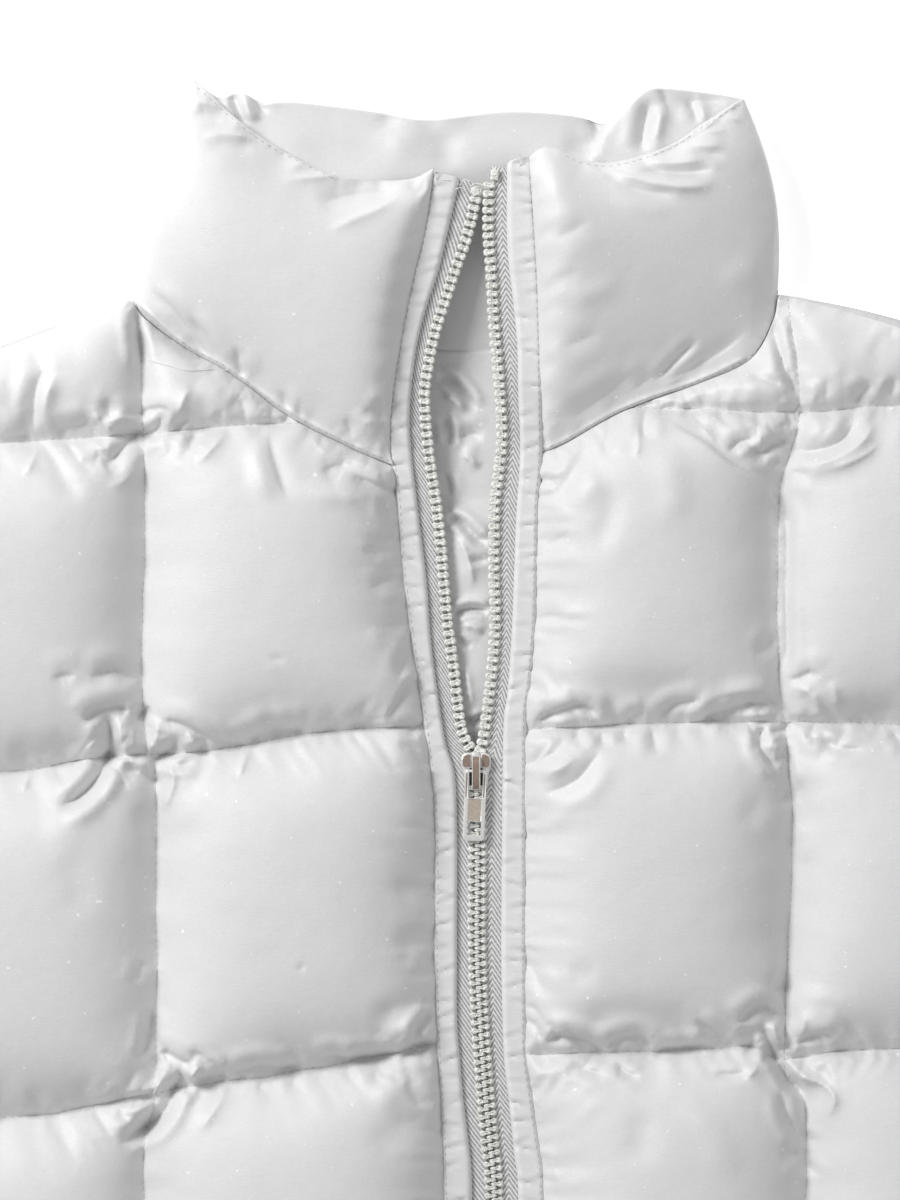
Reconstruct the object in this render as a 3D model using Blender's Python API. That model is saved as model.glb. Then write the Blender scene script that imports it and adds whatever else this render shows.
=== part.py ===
"""Quilted bomber jacket lying on its back: fronts, back, collar, sleeves, bands and a zip.

Metres, +Z up, +Y towards the collar, +X towards the jacket's own left (image right).
The origin is under the middle of the garment, on the surface that it lies on.
Tables and sizes are written in millimetres and turned to metres by MM.
"""

import math

import bmesh
import bpy
import numpy as np
from mathutils import Vector
from mathutils.geometry import delaunay_2d_cdt

MM = 0.001
GAP = 0.4  # left between two pieces where a seam joins them

# Heights above the surface
BACK_TOP = 12.0  # inside face of the back panel
LAYER_GAP = 0.6  # between the back and what lies on it
FRONT_BASE = BACK_TOP + LAYER_GAP
SEAM_WALL = 4.0  # wall at a quilting seam
CROWN = 24.0  # wall at the middle of a quilt box
EDGE_LIFT = 5.0  # rounded lower edge of what rests on the surface
EDGE_INSET = 9.0

# Quilting
BOX_WIDE = 106.0
BOX_TALL = 119.0
SKIN_PITCH = 16.0  # spacing of the points of a quilted face

# Body
HEM_SEAM_Y = -310.0
HEM_END_Y = -360.0
ARMPIT = (280.0, 20.0)
SIDE_HEM_X = 276.0
BACK_SHOULDER_RISE = 3.5  # the back shows above the right front's shoulder ridge

# Sleeve, measured along its own length and across it
SLEEVE_TILT = math.radians(28.0)
SLEEVE_END_WIDE = 125.0
CUFF_LONG = 50.0
CUFF_WIDE = 112.0
SLEEVE_SLIT = (BACK_TOP - 0.1, FRONT_BASE - 0.1)
SLIT_INSET = 8.0

# Collar
COLLAR_RISE = 4.0
COLLAR_CROWN = 25.0
COLLAR_FOLD_WALL = 7.0
COLLAR_FOLD_RADIUS = 30.0
SEAM_CLEAR = 0.5  # the collar's side of the neck seam

# Zip
TAPE_BASE = 15.0
TAPE_THICK = 1.2
BAND_THICK = 2.2
CHAIN_GAP = 0.3
SLIDER_X = 5.8
SLIDER_TOP_Y = 117.2
SLIDER_LONG = 13.6
SLIDER_WIDE = 10.8
SLIDER_END_WIDE = 7.4
PLATE_THICK = 1.2
THROAT = (14.2, 17.0)  # between the slider's two plates
BAIL_WIDE = 3.0
BAIL_BAR = 1.0
BAIL_SPAN = (104.0, 115.8)
BAIL_CLEAR = 1.9
TAB_PIVOT_Y = 110.5
TAB_LONG = 25.6
TAB_WIDE = 7.8
TAB_THICK = 1.0
TAB_HOLE_WIDE = 5.0
TAB_HOLE_LONG = 9.4
TAB_WINDOW = (4.6, 2.1, 4.9)  # lower window: width, then from the tab's end to its two ends

# Edges of the zip, each row: height up the garment (y), x. Image left is negative.
LEFT_STITCH = ((-360, -7.0), (-200, -6.5), (-90, -4.8), (-34, -5.4), (-9, -6.5), (16, -7.9),
               (47, -8.6), (71, -8.3), (100, -9.0), (129, -12.6), (165, -18.0), (187, -20.5),
               (215, -22.7), (226, -25.2), (244, -24.5), (267, -20.9), (290, -16.2),
               (307, -12.2), (332, -8.8))
LEFT_TAPE = ((-360, 1.2), (-200, 1.7), (-90, 3.9), (-40, 4.3), (-24, 3.2), (-9, 1.4), (7, 0.0),
             (22, -1.1), (47, -1.1), (104, -1.4), (122, -5.4), (154, -10.1), (178, -11.9),
             (202, -14.8), (227, -17.6), (242, -18.0), (262, -15.8), (277, -12.2), (290, -7.9),
             (305, -4.3), (332, 1.8))
LEFT_TEETH = ((-360, 8.0), (-200, 9.0), (-90, 12.2), (-40, 12.2), (-24, 10.8), (-12, 9.7),
              (10, 7.9), (35, 6.5), (52, 6.1), (82, 6.2), (113, 5.8), (118, 4.0), (124, 0.9),
              (131, -0.4), (152, -2.9), (168, -5.0), (190, -6.8), (207, -8.6), (224, -11.2),
              (240, -12.6), (249, -12.6), (256, -11.5), (264, -10.1), (273, -7.6), (283, -4.3),
              (292, -1.4), (302, 2.2), (318, 5.8), (332, 7.2))
RIGHT_TEETH = ((-360, 8.0), (-200, 9.0), (-90, 12.2), (-40, 12.2), (-24, 10.8), (-12, 9.7),
               (10, 7.9), (35, 6.5), (52, 6.1), (82, 6.2), (113, 5.8), (118, 7.6), (126, 9.0),
               (144, 11.2), (164, 12.6), (185, 12.2), (207, 12.6), (216, 13.7), (231, 15.1),
               (251, 14.0), (271, 12.2), (290, 11.2), (308, 10.1), (332, 11.0))
RIGHT_TAPE = ((-360, 14.8), (-200, 15.8), (-90, 20.4), (-42, 20.9), (-27, 19.4), (-9, 17.6),
              (7, 15.8), (28, 15.1), (52, 14.8), (123, 15.5), (137, 16.9), (157, 18.4),
              (181, 19.4), (202, 20.2), (226, 21.6), (246, 20.9), (264, 20.5), (279, 19.1),
              (301, 16.9), (332, 16.9))
RIGHT_STITCH = ((-360, 23.0), (-200, 24.2), (-90, 29.0), (-40, 29.5), (-24, 27.7), (-9, 25.6),
                (7, 23.4), (22, 23.0), (123, 23.0), (140, 24.5), (161, 26.3), (181, 27.0),
                (206, 27.4), (225, 28.8), (264, 28.4), (286, 27.7), (305, 26.6), (332, 24.8))
ZIP_TOP_Y = 328.0

# Neck seam of each front, from the zip to the shoulder: x, y
LEFT_NECK = ((-24.9, 220.5), (-40.7, 227.5), (-62.3, 238.7), (-82.8, 253.8), (-99.4, 263.2),
             (-114.1, 274.0), (-118.4, 281.0))
RIGHT_NECK = ((28.9, 225.0), (37.8, 228.3), (58.3, 239.8), (86.4, 250.2), (104.8, 258.9),
              (113.0, 273.0), (114.6, 283.0))
# Top edge of each collar end, from the zip to the tip of the fold: x, y
LEFT_COLLAR_TOP = ((-9.2, 327.6), (-19.1, 323.4), (-45.4, 325.0), (-72.7, 339.5),
                   (-93.2, 357.1), (-96.8, 360.0))
RIGHT_COLLAR_TOP = ((25.2, 333.5), (32.0, 335.0), (42.8, 330.5), (55.8, 329.8), (74.9, 335.5),
                    (86.4, 343.1), (99.7, 351.5), (103.0, 352.8))
# Back of the collar, from the left fold to the right: x, y
BACK_NECK = ((-118.4, 281.0), (-70.0, 268.0), (0.0, 262.0), (70.0, 269.0), (114.6, 283.0))
BACK_COLLAR_TOP = ((-96.8, 360.0), (-85.0, 353.0), (-64.0, 352.0), (-31.0, 348.5),
                   (-12.6, 345.5), (17.0, 348.5), (43.0, 346.7), (53.0, 343.5), (63.0, 352.8),
                   (70.0, 357.0), (95.0, 354.5), (103.0, 352.8))
LEFT_FOLD_BULGE = 3.6
RIGHT_FOLD_BULGE = 5.2

# Shoulder seams from the collar outwards: x, y
LEFT_SHOULDER = ((-119.2, 280.2), (-131.0, 276.0), (-165.6, 262.4), (-236.0, 236.0))
RIGHT_SHOULDER = ((115.2, 282.2), (126.0, 279.5), (155.5, 271.0), (236.0, 244.0))
# Armhole from the shoulder down to the armpit: x, y on the right side
ARMHOLE_DROP = ((229.0, 190.0), (226.0, 140.0), (232.0, 90.0), (252.0, 46.0), ARMPIT)

# Quilting seams across each front, from the zip outwards: x, y
LEFT_ROWS = (((-52.0, 236.0), (-77.8, 235.1), (-114.1, 231.9), (-165.6, 228.6), (-240.0, 226.0)),
             ((0.0, 127.0), (-13.7, 126.7), (-51.8, 124.2), (-93.2, 117.4), (-125.3, 115.9),
              (-165.6, 110.2), (-240.0, 107.0)),
             ((0.0, 13.0), (-8.6, 12.6), (-46.8, 4.3), (-98.3, -3.2), (-134.6, -10.4),
              (-165.6, -14.0), (-290.0, -18.0)))
RIGHT_ROWS = (((63.0, 241.4), (70.9, 241.2), (121.3, 239.8), (158.4, 241.9), (242.0, 240.5)),
              ((10.0, 124.6), (84.2, 128.2), (116.6, 128.2), (158.4, 127.5), (242.0, 122.0)),
              ((10.0, 8.7), (73.8, 9.7), (104.8, 11.5), (117.4, 6.9), (158.4, 10.8),
               (290.0, 6.0)))
LOWER_ROWS = (-112.0, -226.0)
# Quilting seams down each front, from the shoulder: x, y
LEFT_COLUMNS = (((-117.4, 284.0), (-114.8, 261.4), (-113.4, 203.8), (-114.5, 141.5),
                 (-112.0, 116.3), (-109.4, 105.9), (-109.4, 6.1), (-112.0, -18.7),
                 (-113.8, -44.0), (-112.0, -320.0)),
                ((-222.0, 110.0), (-219.0, 40.0), (-218.0, -320.0)))
RIGHT_COLUMNS = (((116.6, 290.0), (122.0, 240.9), (114.8, 207.7), (114.6, 150.0),
                  (117.7, 118.5), (119.5, 84.2), (116.6, 6.1), (122.4, -5.0), (124.6, -44.0),
                  (121.0, -320.0)),
                 ((228.0, 110.0), (226.0, 40.0), (225.0, -320.0)))


# ---------------------------------------------------------------- small mathematics

def ease(t):
    """0 to 1 with a soft start and end."""
    t = min(max(t, 0.0), 1.0)
    return t * t * (3.0 - 2.0 * t)


def dome(t):
    """A quarter round: steep at 0, level at 1."""
    t = min(max(t, 0.0), 1.0)
    return math.sqrt(1.0 - (1.0 - t) ** 2)


def value_at(table, where):
    """Second column of a table at a place in its first column."""
    keys = [row[0] for row in table]
    values = [row[1] for row in table]
    if keys[0] > keys[-1]:
        keys.reverse()
        values.reverse()
    return float(np.interp(where, keys, values))


def along(points, share):
    """The point at a share of a polyline's length."""
    pts = np.array(points, float)
    steps = np.linalg.norm(np.diff(pts, axis=0), axis=1)
    run = np.concatenate([[0.0], np.cumsum(steps)]) / steps.sum()
    return np.array([np.interp(share, run, pts[:, 0]), np.interp(share, run, pts[:, 1])])


def rounded(points, pitch):
    """A smooth curve through a few points, as points about a pitch apart."""
    pts = [np.array(p, float) for p in points]
    padded = [2 * pts[0] - pts[1]] + pts + [2 * pts[-1] - pts[-2]]
    dense = []
    for a, b, c, d in zip(padded, padded[1:], padded[2:], padded[3:]):
        for k in range(8):
            t = k / 8.0
            dense.append(0.5 * (2 * b + (c - a) * t + (2 * a - 5 * b + 4 * c - d) * t ** 2
                                + (3 * b - a - 3 * c + d) * t ** 3))
    dense.append(pts[-1])
    length = sum(np.linalg.norm(q - p) for p, q in zip(dense, dense[1:]))
    count = max(1, round(length / pitch))
    return [tuple(along(dense, k / count)) for k in range(count + 1)]


def distance(points, lines):
    """Distance of each point to the nearest of some polylines."""
    pts = np.array(points, float)
    best = np.full(len(pts), 1e9)
    for line in lines:
        for a, b in zip(line, line[1:]):
            start = np.array(a, float)
            span = np.array(b, float) - start
            t = np.clip(((pts - start) @ span) / max(span @ span, 1e-12), 0.0, 1.0)
            best = np.minimum(best, np.linalg.norm(pts - start - t[:, None] * span, axis=1))
    return best


def shifted(points, dx, dy):
    return [(x + dx, y + dy) for x, y in points]


def mirrored(points):
    return [(-x, y) for x, y in points]


# ---------------------------------------------------------------- mesh helpers

def new_object(name, bm, material, cutter=False):
    """Put a finished bmesh, in millimetres, into its collection as an object in metres."""
    bmesh.ops.scale(bm, vec=(MM, MM, MM), verts=bm.verts)
    mesh = bpy.data.meshes.new(name)
    bm.to_mesh(mesh)
    bm.free()
    obj = bpy.data.objects.new(name, mesh)
    if cutter:
        CUTTERS.objects.link(obj)
        obj.hide_render = True
        obj.display_type = "WIRE"
    else:
        JACKET.objects.link(obj)
        mesh.materials.append(material)
        mesh.shade_smooth()
        mesh.set_sharp_from_angle(angle=math.radians(50.0))
    return obj


def inside_points(outline, lines, pitch):
    """A triangular grid of points that keeps clear of an outline and of seam lines."""
    ring = list(outline) + [outline[0]]
    xs = [p[0] for p in outline]
    ys = [p[1] for p in outline]
    rows = int((max(ys) - min(ys)) / (pitch * 0.866)) + 1
    columns = int((max(xs) - min(xs)) / pitch) + 1
    grid = []
    for j in range(rows):
        for i in range(columns):
            grid.append((min(xs) + (i + 0.5 * (j % 2)) * pitch, min(ys) + j * pitch * 0.866))
    clear = distance(grid, [ring] + list(lines)) > 0.62 * pitch
    return [p for p, ok in zip(grid, clear) if ok]


def skin(bm, outline, lines, pitch):
    """A flat triangulated skin inside an outline, with edges along the seam lines."""
    points = [Vector(p) for p in outline]
    edges = [(k, (k + 1) % len(outline)) for k in range(len(outline))]
    for line in lines:
        first = len(points)
        points += [Vector(p) for p in line]
        edges += [(first + k, first + k + 1) for k in range(len(line) - 1)]
    points += [Vector(p) for p in inside_points(outline, lines, pitch)]
    around = list(range(len(outline)))
    verts, _, faces, *_ = delaunay_2d_cdt(points, edges, [around], 1, 0.5)
    made = [bm.verts.new((v.x, v.y, 0.0)) for v in verts]
    for face in faces:
        bm.faces.new([made[k] for k in face])
    bmesh.ops.delete(bm, geom=[v for v in made if not v.link_faces], context="VERTS")


def panel(name, outline, rows, columns, height, base, material, pitch=SKIN_PITCH, rests=False):
    """A padded piece: a raised skin, a wall round its edge and a plain underside."""
    bm = bmesh.new()
    skin(bm, outline, list(rows) + list(columns), pitch)
    places = [(v.co.x, v.co.y) for v in bm.verts]
    to_edge = distance(places, [list(outline) + [outline[0]]])
    to_row = distance(places, rows)
    to_column = distance(places, columns)
    for vert, *spans in zip(bm.verts, to_edge, to_row, to_column):
        vert.co.z = height(*spans)
    border = [e for e in bm.edges if e.is_boundary]
    wall = bmesh.ops.extrude_edge_only(bm, edges=border)
    low = [g for g in wall["geom"] if isinstance(g, bmesh.types.BMVert)]
    for vert in low:
        vert.co.z = base + (EDGE_LIFT if rests else 0.0)
    rim = [e for e in bm.edges if e.is_boundary]
    floor = bmesh.ops.contextual_create(bm, geom=rim)["faces"]
    if rests:
        bmesh.ops.inset_region(bm, faces=floor, thickness=EDGE_INSET, use_even_offset=True)
        for vert in floor[0].verts:
            vert.co.z = base
    bmesh.ops.triangulate(bm, faces=[f for f in bm.faces if len(f.verts) > 4])
    bmesh.ops.recalc_face_normals(bm, faces=bm.faces)
    return new_object(name, bm, material)


def loft(name, rings, material):
    """A closed piece through closed rings of the same number of points."""
    bm = bmesh.new()
    loops = [[bm.verts.new(p) for p in ring] for ring in rings]
    for here, there in zip(loops, loops[1:]):
        for k in range(len(here)):
            n = (k + 1) % len(here)
            bm.faces.new((here[k], here[n], there[n], there[k]))
    for ends in (loops[0], loops[-1]):
        bm.faces.new(ends)
    bmesh.ops.triangulate(bm, faces=[f for f in bm.faces if len(f.verts) > 4])
    bmesh.ops.recalc_face_normals(bm, faces=bm.faces)
    return new_object(name, bm, material)


def block(bm, low, high):
    """A box between two corners."""
    size = [h - l for l, h in zip(low, high)]
    middle = [(l + h) / 2 for l, h in zip(low, high)]
    made = bmesh.ops.create_cube(bm, size=1.0)["verts"]
    bmesh.ops.scale(bm, vec=size, verts=made)
    bmesh.ops.translate(bm, vec=middle, verts=made)


def plate(bm, outline, low, high):
    """An outline in the ground plane raised between two heights."""
    face = bm.faces.new([bm.verts.new((x, y, low)) for x, y in outline])
    raised = bmesh.ops.extrude_face_region(bm, geom=[face])["geom"]
    tops = [g for g in raised if isinstance(g, bmesh.types.BMVert)]
    bmesh.ops.translate(bm, vec=(0.0, 0.0, high - low), verts=tops)


def boolean(obj, other, operation):
    """Join to or cut with another object, exactly."""
    change = obj.modifiers.new(f"{operation.lower()} {other.name}", "BOOLEAN")
    change.object = other
    change.operation = operation
    change.solver = "EXACT"


def finish_material(name, colour, roughness, metallic=0.0, sheen=0.0):
    material = bpy.data.materials.new(name)
    material.use_nodes = True
    shader = material.node_tree.nodes["Principled BSDF"]
    shader.inputs["Base Color"].default_value = (*colour, 1.0)
    shader.inputs["Roughness"].default_value = roughness
    shader.inputs["Metallic"].default_value = metallic
    shader.inputs["Sheen Weight"].default_value = sheen
    material.diffuse_color = (*colour, 1.0)
    return material


# ---------------------------------------------------------------- quilted body

def quilt(base, crown=CROWN, edge_reach=42.0):
    """Height of a quilted skin from its distances to edge, cross seam and down seam."""
    def height(to_edge, to_row, to_column):
        swell = dome(to_edge / edge_reach) * dome(to_row / (BOX_TALL / 2))
        swell *= dome(to_column / (BOX_WIDE / 2))
        return base + SEAM_WALL + (crown - SEAM_WALL) * swell
    return height


def armhole(side, shoulder):
    tip = shoulder[-1]
    points = [tip] + [(side * x, y) for x, y in ARMHOLE_DROP]
    return rounded(points, SKIN_PITCH)


def side_and_hem(side):
    """From the armpit down the side seam to the end of the hem seam."""
    return rounded([(side * ARMPIT[0], ARMPIT[1]), (side * SIDE_HEM_X, HEM_SEAM_Y)], SKIN_PITCH)


def lower_rows(side):
    return [rounded([(0.0, y), (side * 290.0, y - 4.0)], SKIN_PITCH) for y in LOWER_ROWS]


def front(name, side, neck, shoulder, stitch, rows, columns):
    """One front, from its band's stitch line to the side seam."""
    centre = [(value_at(stitch, y) + side * GAP, y)
              for y in np.arange(HEM_SEAM_Y, neck[0][1] - 5.0, SKIN_PITCH)]
    corner = neck[0]
    throat = shifted(rounded(neck, SKIN_PITCH / 1.3), 0.0, -GAP)
    throat[0] = (value_at(stitch, corner[1]) + side * GAP, corner[1] - GAP)
    line = rounded(shoulder, SKIN_PITCH)
    ring = centre + throat[:-1] + line + armhole(side, shoulder)[1:] + side_and_hem(side)[1:]
    hem = rounded([ring[-1], ring[0]], SKIN_PITCH)[1:-1]
    rows = [rounded(r, SKIN_PITCH) for r in rows] + lower_rows(side)
    columns = [rounded(c, SKIN_PITCH) for c in columns]
    return panel(name, ring + hem, rows, columns, quilt(FRONT_BASE), FRONT_BASE, SHELL)


def back():
    """The back, whose inside is plain and whose outside rests on the surface."""
    left_line = rounded(LEFT_SHOULDER, SKIN_PITCH)
    right_line = rounded(RIGHT_SHOULDER, SKIN_PITCH)
    rise = [math.sin(math.pi * k / (len(right_line) - 1)) for k in range(len(right_line))]
    right_line = [(x, y + BACK_SHOULDER_RISE * r) for (x, y), r in zip(right_line, rise)]
    neck = shifted(rounded(BACK_NECK, SKIN_PITCH), 0.0, -GAP)[1:-1]
    down_left = armhole(-1, LEFT_SHOULDER)[1:] + side_and_hem(-1)[1:]
    down_right = armhole(1, RIGHT_SHOULDER)[1:] + side_and_hem(1)[1:]
    hem = rounded([down_left[-1], down_right[-1]], SKIN_PITCH)[1:-1]
    ring = (left_line[::-1] + neck + right_line + down_right + hem[::-1] + down_left[::-1])

    def plain(to_edge, to_row, to_column):
        return BACK_TOP
    return panel("back", ring, [], [], plain, 0.0, SHELL, pitch=60.0, rests=True)


def hem_pieces():
    """The bottom band in three pieces, joined at the side seams."""
    def rolled(base, crown):
        def height(to_edge, to_row, to_column):
            return base + SEAM_WALL + crown * dome(to_edge / 22.0)
        return height
    low = HEM_END_Y
    top = HEM_SEAM_Y - GAP
    for name, side, stitch in (("hem_left", -1, LEFT_STITCH), ("hem_right", 1, RIGHT_STITCH)):
        inner_top = value_at(stitch, top) + side * GAP
        inner_low = value_at(stitch, low) + side * GAP
        outer = side * (SIDE_HEM_X - 4.0)
        ring = (rounded([(inner_low, low), (inner_top, top)], 25.0)
                + rounded([(inner_top, top), (side * SIDE_HEM_X, top)], 25.0)[1:]
                + rounded([(side * SIDE_HEM_X, top), (outer, low)], 25.0)[1:]
                + rounded([(outer, low), (inner_low, low)], 25.0)[1:-1])
        panel(name, ring, [], [], rolled(FRONT_BASE, 7.0), FRONT_BASE, SHELL, pitch=25.0)
    ring = (rounded([(SIDE_HEM_X, top), (SIDE_HEM_X - 4.0, low)], 25.0)
            + rounded([(SIDE_HEM_X - 4.0, low), (4.0 - SIDE_HEM_X, low)], 60.0)[1:]
            + rounded([(4.0 - SIDE_HEM_X, low), (-SIDE_HEM_X, top)], 25.0)[1:]
            + rounded([(-SIDE_HEM_X, top), (SIDE_HEM_X, top)], 60.0)[1:-1])

    def plain(to_edge, to_row, to_column):
        return BACK_TOP
    panel("hem_back", ring, [], [], plain, 0.0, SHELL, pitch=60.0, rests=True)


# ---------------------------------------------------------------- sleeves

SLEEVE_DOWN = np.array([math.sin(SLEEVE_TILT), -math.cos(SLEEVE_TILT)])
SLEEVE_IN = np.array([-math.cos(SLEEVE_TILT), -math.sin(SLEEVE_TILT)])
SLEEVE_BEND = np.array([300.0, 160.0])  # where the sleeve's outer edge leaves the shoulder
SLEEVE_RUN = 455.0
SLEEVE_OUTER_END = SLEEVE_BEND + SLEEVE_DOWN * SLEEVE_RUN
SLEEVE_INNER_END = SLEEVE_OUTER_END + SLEEVE_IN * SLEEVE_END_WIDE


def sleeve(name, cutter_name, side, shoulder):
    """A quilted sleeve: a flattened tube, open at the armhole and at the cuff."""
    tip_x, tip_y = abs(shoulder[-1][0]), shoulder[-1][1]
    outer = rounded([(tip_x + GAP, tip_y), (263.0, 220.0), (285.0, 192.0), tuple(SLEEVE_BEND),
                     tuple(SLEEVE_BEND + SLEEVE_DOWN * 160.0), tuple(SLEEVE_OUTER_END)],
                    SKIN_PITCH)
    inner = rounded([tuple(SLEEVE_INNER_END), (343.0, -150.0), (ARMPIT[0] + GAP, ARMPIT[1])],
                    SKIN_PITCH)
    end = rounded([tuple(SLEEVE_OUTER_END), tuple(SLEEVE_INNER_END)], SKIN_PITCH)
    head = shifted(mirrored(armhole(-1, mirrored(shoulder) if side > 0 else shoulder)), GAP, 0.0)
    ring = outer + end[1:] + inner[1:] + head[::-1][1:-1]
    rows = []
    for k in range(1, 5):
        across = SLEEVE_OUTER_END - SLEEVE_DOWN * (BOX_TALL * k - 14.0)
        rows.append(rounded([tuple(across - SLEEVE_IN * 30.0), tuple(across + SLEEVE_IN * 230.0)],
                            SKIN_PITCH))
    middle = (SLEEVE_OUTER_END + SLEEVE_INNER_END) / 2
    columns = [rounded([tuple(middle + SLEEVE_DOWN * 20.0), (330.0, 0.0), (236.0, 176.0)],
                       SKIN_PITCH)]
    slit = ([tuple(np.array(p) + SLEEVE_IN * SLIT_INSET) for p in outer[1:]]
            + [tuple(SLEEVE_OUTER_END + SLEEVE_DOWN * 20.0 + SLEEVE_IN * SLIT_INSET)]
            + [tuple(SLEEVE_INNER_END + SLEEVE_DOWN * 20.0 - SLEEVE_IN * SLIT_INSET)]
            + [tuple(np.array(p) - SLEEVE_IN * SLIT_INSET) for p in inner]
            + [(ARMPIT[0] - 60.0, ARMPIT[1] + 12.0), (tip_x - 50.0, tip_y - 14.0)])
    if side < 0:
        ring, slit = mirrored(ring), mirrored(slit)
        rows, columns = [mirrored(r) for r in rows], [mirrored(c) for c in columns]
    tube = panel(name, ring, rows, columns, quilt(FRONT_BASE), 0.0, SHELL, rests=True)
    hollow(tube, cutter_name, slit)


def hollow(tube, cutter_name, outline):
    """Open a flattened tube from end to end by a thin slit."""
    bm = bmesh.new()
    plate(bm, outline, *SLEEVE_SLIT)
    bmesh.ops.triangulate(bm, faces=[f for f in bm.faces if len(f.verts) > 4])
    bmesh.ops.recalc_face_normals(bm, faces=bm.faces)
    cutter = new_object(cutter_name, bm, None, cutter=True)
    boolean(tube, cutter, "DIFFERENCE")


def cuff(name, cutter_name, side):
    """A plain band round the end of a sleeve."""
    start = (SLEEVE_OUTER_END + SLEEVE_INNER_END) / 2 + SLEEVE_DOWN * GAP
    wide = SLEEVE_IN * CUFF_WIDE / 2
    corners = [start - wide, start - wide + SLEEVE_DOWN * CUFF_LONG,
               start + wide + SLEEVE_DOWN * CUFF_LONG, start + wide]
    ring = []
    for a, b in zip(corners, corners[1:] + corners[:1]):
        ring += rounded([tuple(a), tuple(b)], 20.0)[:-1]
    inset = SLEEVE_IN * SLIT_INSET
    past = SLEEVE_DOWN * 8.0
    slit = [tuple(corners[0] + inset - past), tuple(corners[1] + inset + past),
            tuple(corners[2] - inset + past), tuple(corners[3] - inset - past)]
    if side < 0:
        ring, slit = mirrored(ring), mirrored(slit)

    def rolled(to_edge, to_row, to_column):
        return FRONT_BASE + SEAM_WALL + 6.0 * dome(to_edge / 20.0)
    tube = panel(name, ring, [], [], rolled, 0.0, SHELL, pitch=22.0, rests=True)
    hollow(tube, cutter_name, slit)


# ---------------------------------------------------------------- collar

RISE_ROWS = (0.0, 0.06, 0.17, 0.33, 0.5, 0.67, 0.83, 0.94, 1.0)
END_STATIONS = (0.0, 0.06, 0.16, 0.3, 0.45, 0.6, 0.73, 0.84, 0.93, 1.0)
BACK_STATIONS = (0.03, 0.075, 0.14, 0.22, 0.31, 0.41, 0.5, 0.59, 0.69, 0.78, 0.86, 0.925, 0.97)


def neck_y(x):
    """The neck seam's y on the upper layer at a given x."""
    table = sorted(list(LEFT_NECK) + list(RIGHT_NECK))
    return value_at(table, x)


def layer_height(x, y):
    """Where the collar's two layers meet: level with the fronts at the neck, then higher."""
    top = value_at(BACK_COLLAR_TOP, x)
    up = ease((y - neck_y(x)) / 35.0)
    down = 0.9 * ease((y - top + 22.0) / 22.0)
    return FRONT_BASE - LAYER_GAP / 2 + COLLAR_RISE * up * (1.0 - down)


def collar_plan(low, high, share, rise, bulge, nearness):
    """A collar point seen from above; the folds bow outwards between neck and tip."""
    x, y = along(low, share) * (1.0 - rise) + along(high, share) * rise
    return x + bulge * nearness * math.sin(math.pi * rise), y


def end_section(side, share):
    """Outer and inner points of a collar end, from the neck seam to the top edge and back."""
    low, high = (LEFT_NECK, LEFT_COLLAR_TOP) if side < 0 else (RIGHT_NECK, RIGHT_COLLAR_TOP)
    stitch = LEFT_STITCH if side < 0 else RIGHT_STITCH
    bulge = -LEFT_FOLD_BULGE if side < 0 else RIGHT_FOLD_BULGE
    outer, inner = [], []
    for rise in RISE_ROWS:
        x, y = collar_plan(low, high, share, rise, bulge, share ** 4)
        edge = value_at(stitch, y) + side * GAP
        x += (edge - along(low, 0.0)[0] * (1 - rise) - along(high, 0.0)[0] * rise) * (1 - share) ** 6
        x -= side * SEAM_CLEAR * (1.0 - rise) * share
        y += SEAM_CLEAR * (1.0 - rise)
        fold_x = collar_plan(low, high, 1.0, rise, bulge, 1.0)[0]
        to_fold = abs(fold_x - x)
        to_zip = abs(x - edge)
        between = layer_height(x, y)
        swell = math.sin(math.pi * rise) ** 0.55 if 0.0 < rise < 1.0 else 0.0
        wall = SEAM_WALL + (COLLAR_CROWN - SEAM_WALL) * swell * dome(to_zip / 34.0)
        top = between + LAYER_GAP / 2 + wall
        outer.append((x, y, between + (top - between) * dome(to_fold / COLLAR_FOLD_RADIUS)))
        tuck = side * COLLAR_FOLD_WALL * ease((share - 0.75) / 0.25)
        lift = 0.0 if share == 1.0 else LAYER_GAP / 2
        inner.append((x - tuck, y, layer_height(x - tuck, y) + lift))
    return outer + inner[::-1]


def back_section(share):
    """The same for the back of the collar, whose outer face rests on the surface."""
    near_left = max(0.0, 1.0 - share / 0.2) ** 2
    near_right = max(0.0, 1.0 - (1.0 - share) / 0.2) ** 2
    outer, inner = [], []
    for rise in RISE_ROWS:
        bulge = -LEFT_FOLD_BULGE * near_left + RIGHT_FOLD_BULGE * near_right
        x, y = collar_plan(BACK_NECK, BACK_COLLAR_TOP, share, rise, bulge, 1.0)
        y += SEAM_CLEAR * (1.0 - rise)
        left = collar_plan(BACK_NECK, BACK_COLLAR_TOP, 0.0, rise, -LEFT_FOLD_BULGE, 1.0)[0]
        right = collar_plan(BACK_NECK, BACK_COLLAR_TOP, 1.0, rise, RIGHT_FOLD_BULGE, 1.0)[0]
        to_fold = min(x - left, right - x)
        under = (layer_height(x, y)) * (1.0 - dome(to_fold / 16.0))
        under = max(under, 5.0 * (1.0 - dome(rise / 0.1)), 6.0 * (1.0 - dome((1.0 - rise) / 0.1)))
        outer.append((x, y, under))
        tuck = COLLAR_FOLD_WALL * (near_left - near_right)
        inner.append((x + tuck, y, layer_height(x + tuck, y) - LAYER_GAP / 2))
    return outer + inner[::-1]


def collar():
    """One padded strip from zip to zip, folded round at both sides."""
    rings = [end_section(-1, share) for share in END_STATIONS]
    rings += [back_section(share) for share in BACK_STATIONS]
    rings += [end_section(1, share) for share in reversed(END_STATIONS)]
    loft("collar", rings, SHELL)


# ---------------------------------------------------------------- zip

def zip_lift(y):
    """The zip climbs with the collar's layers."""
    return COLLAR_RISE * ease((y - 222.0) / 35.0)


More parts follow.
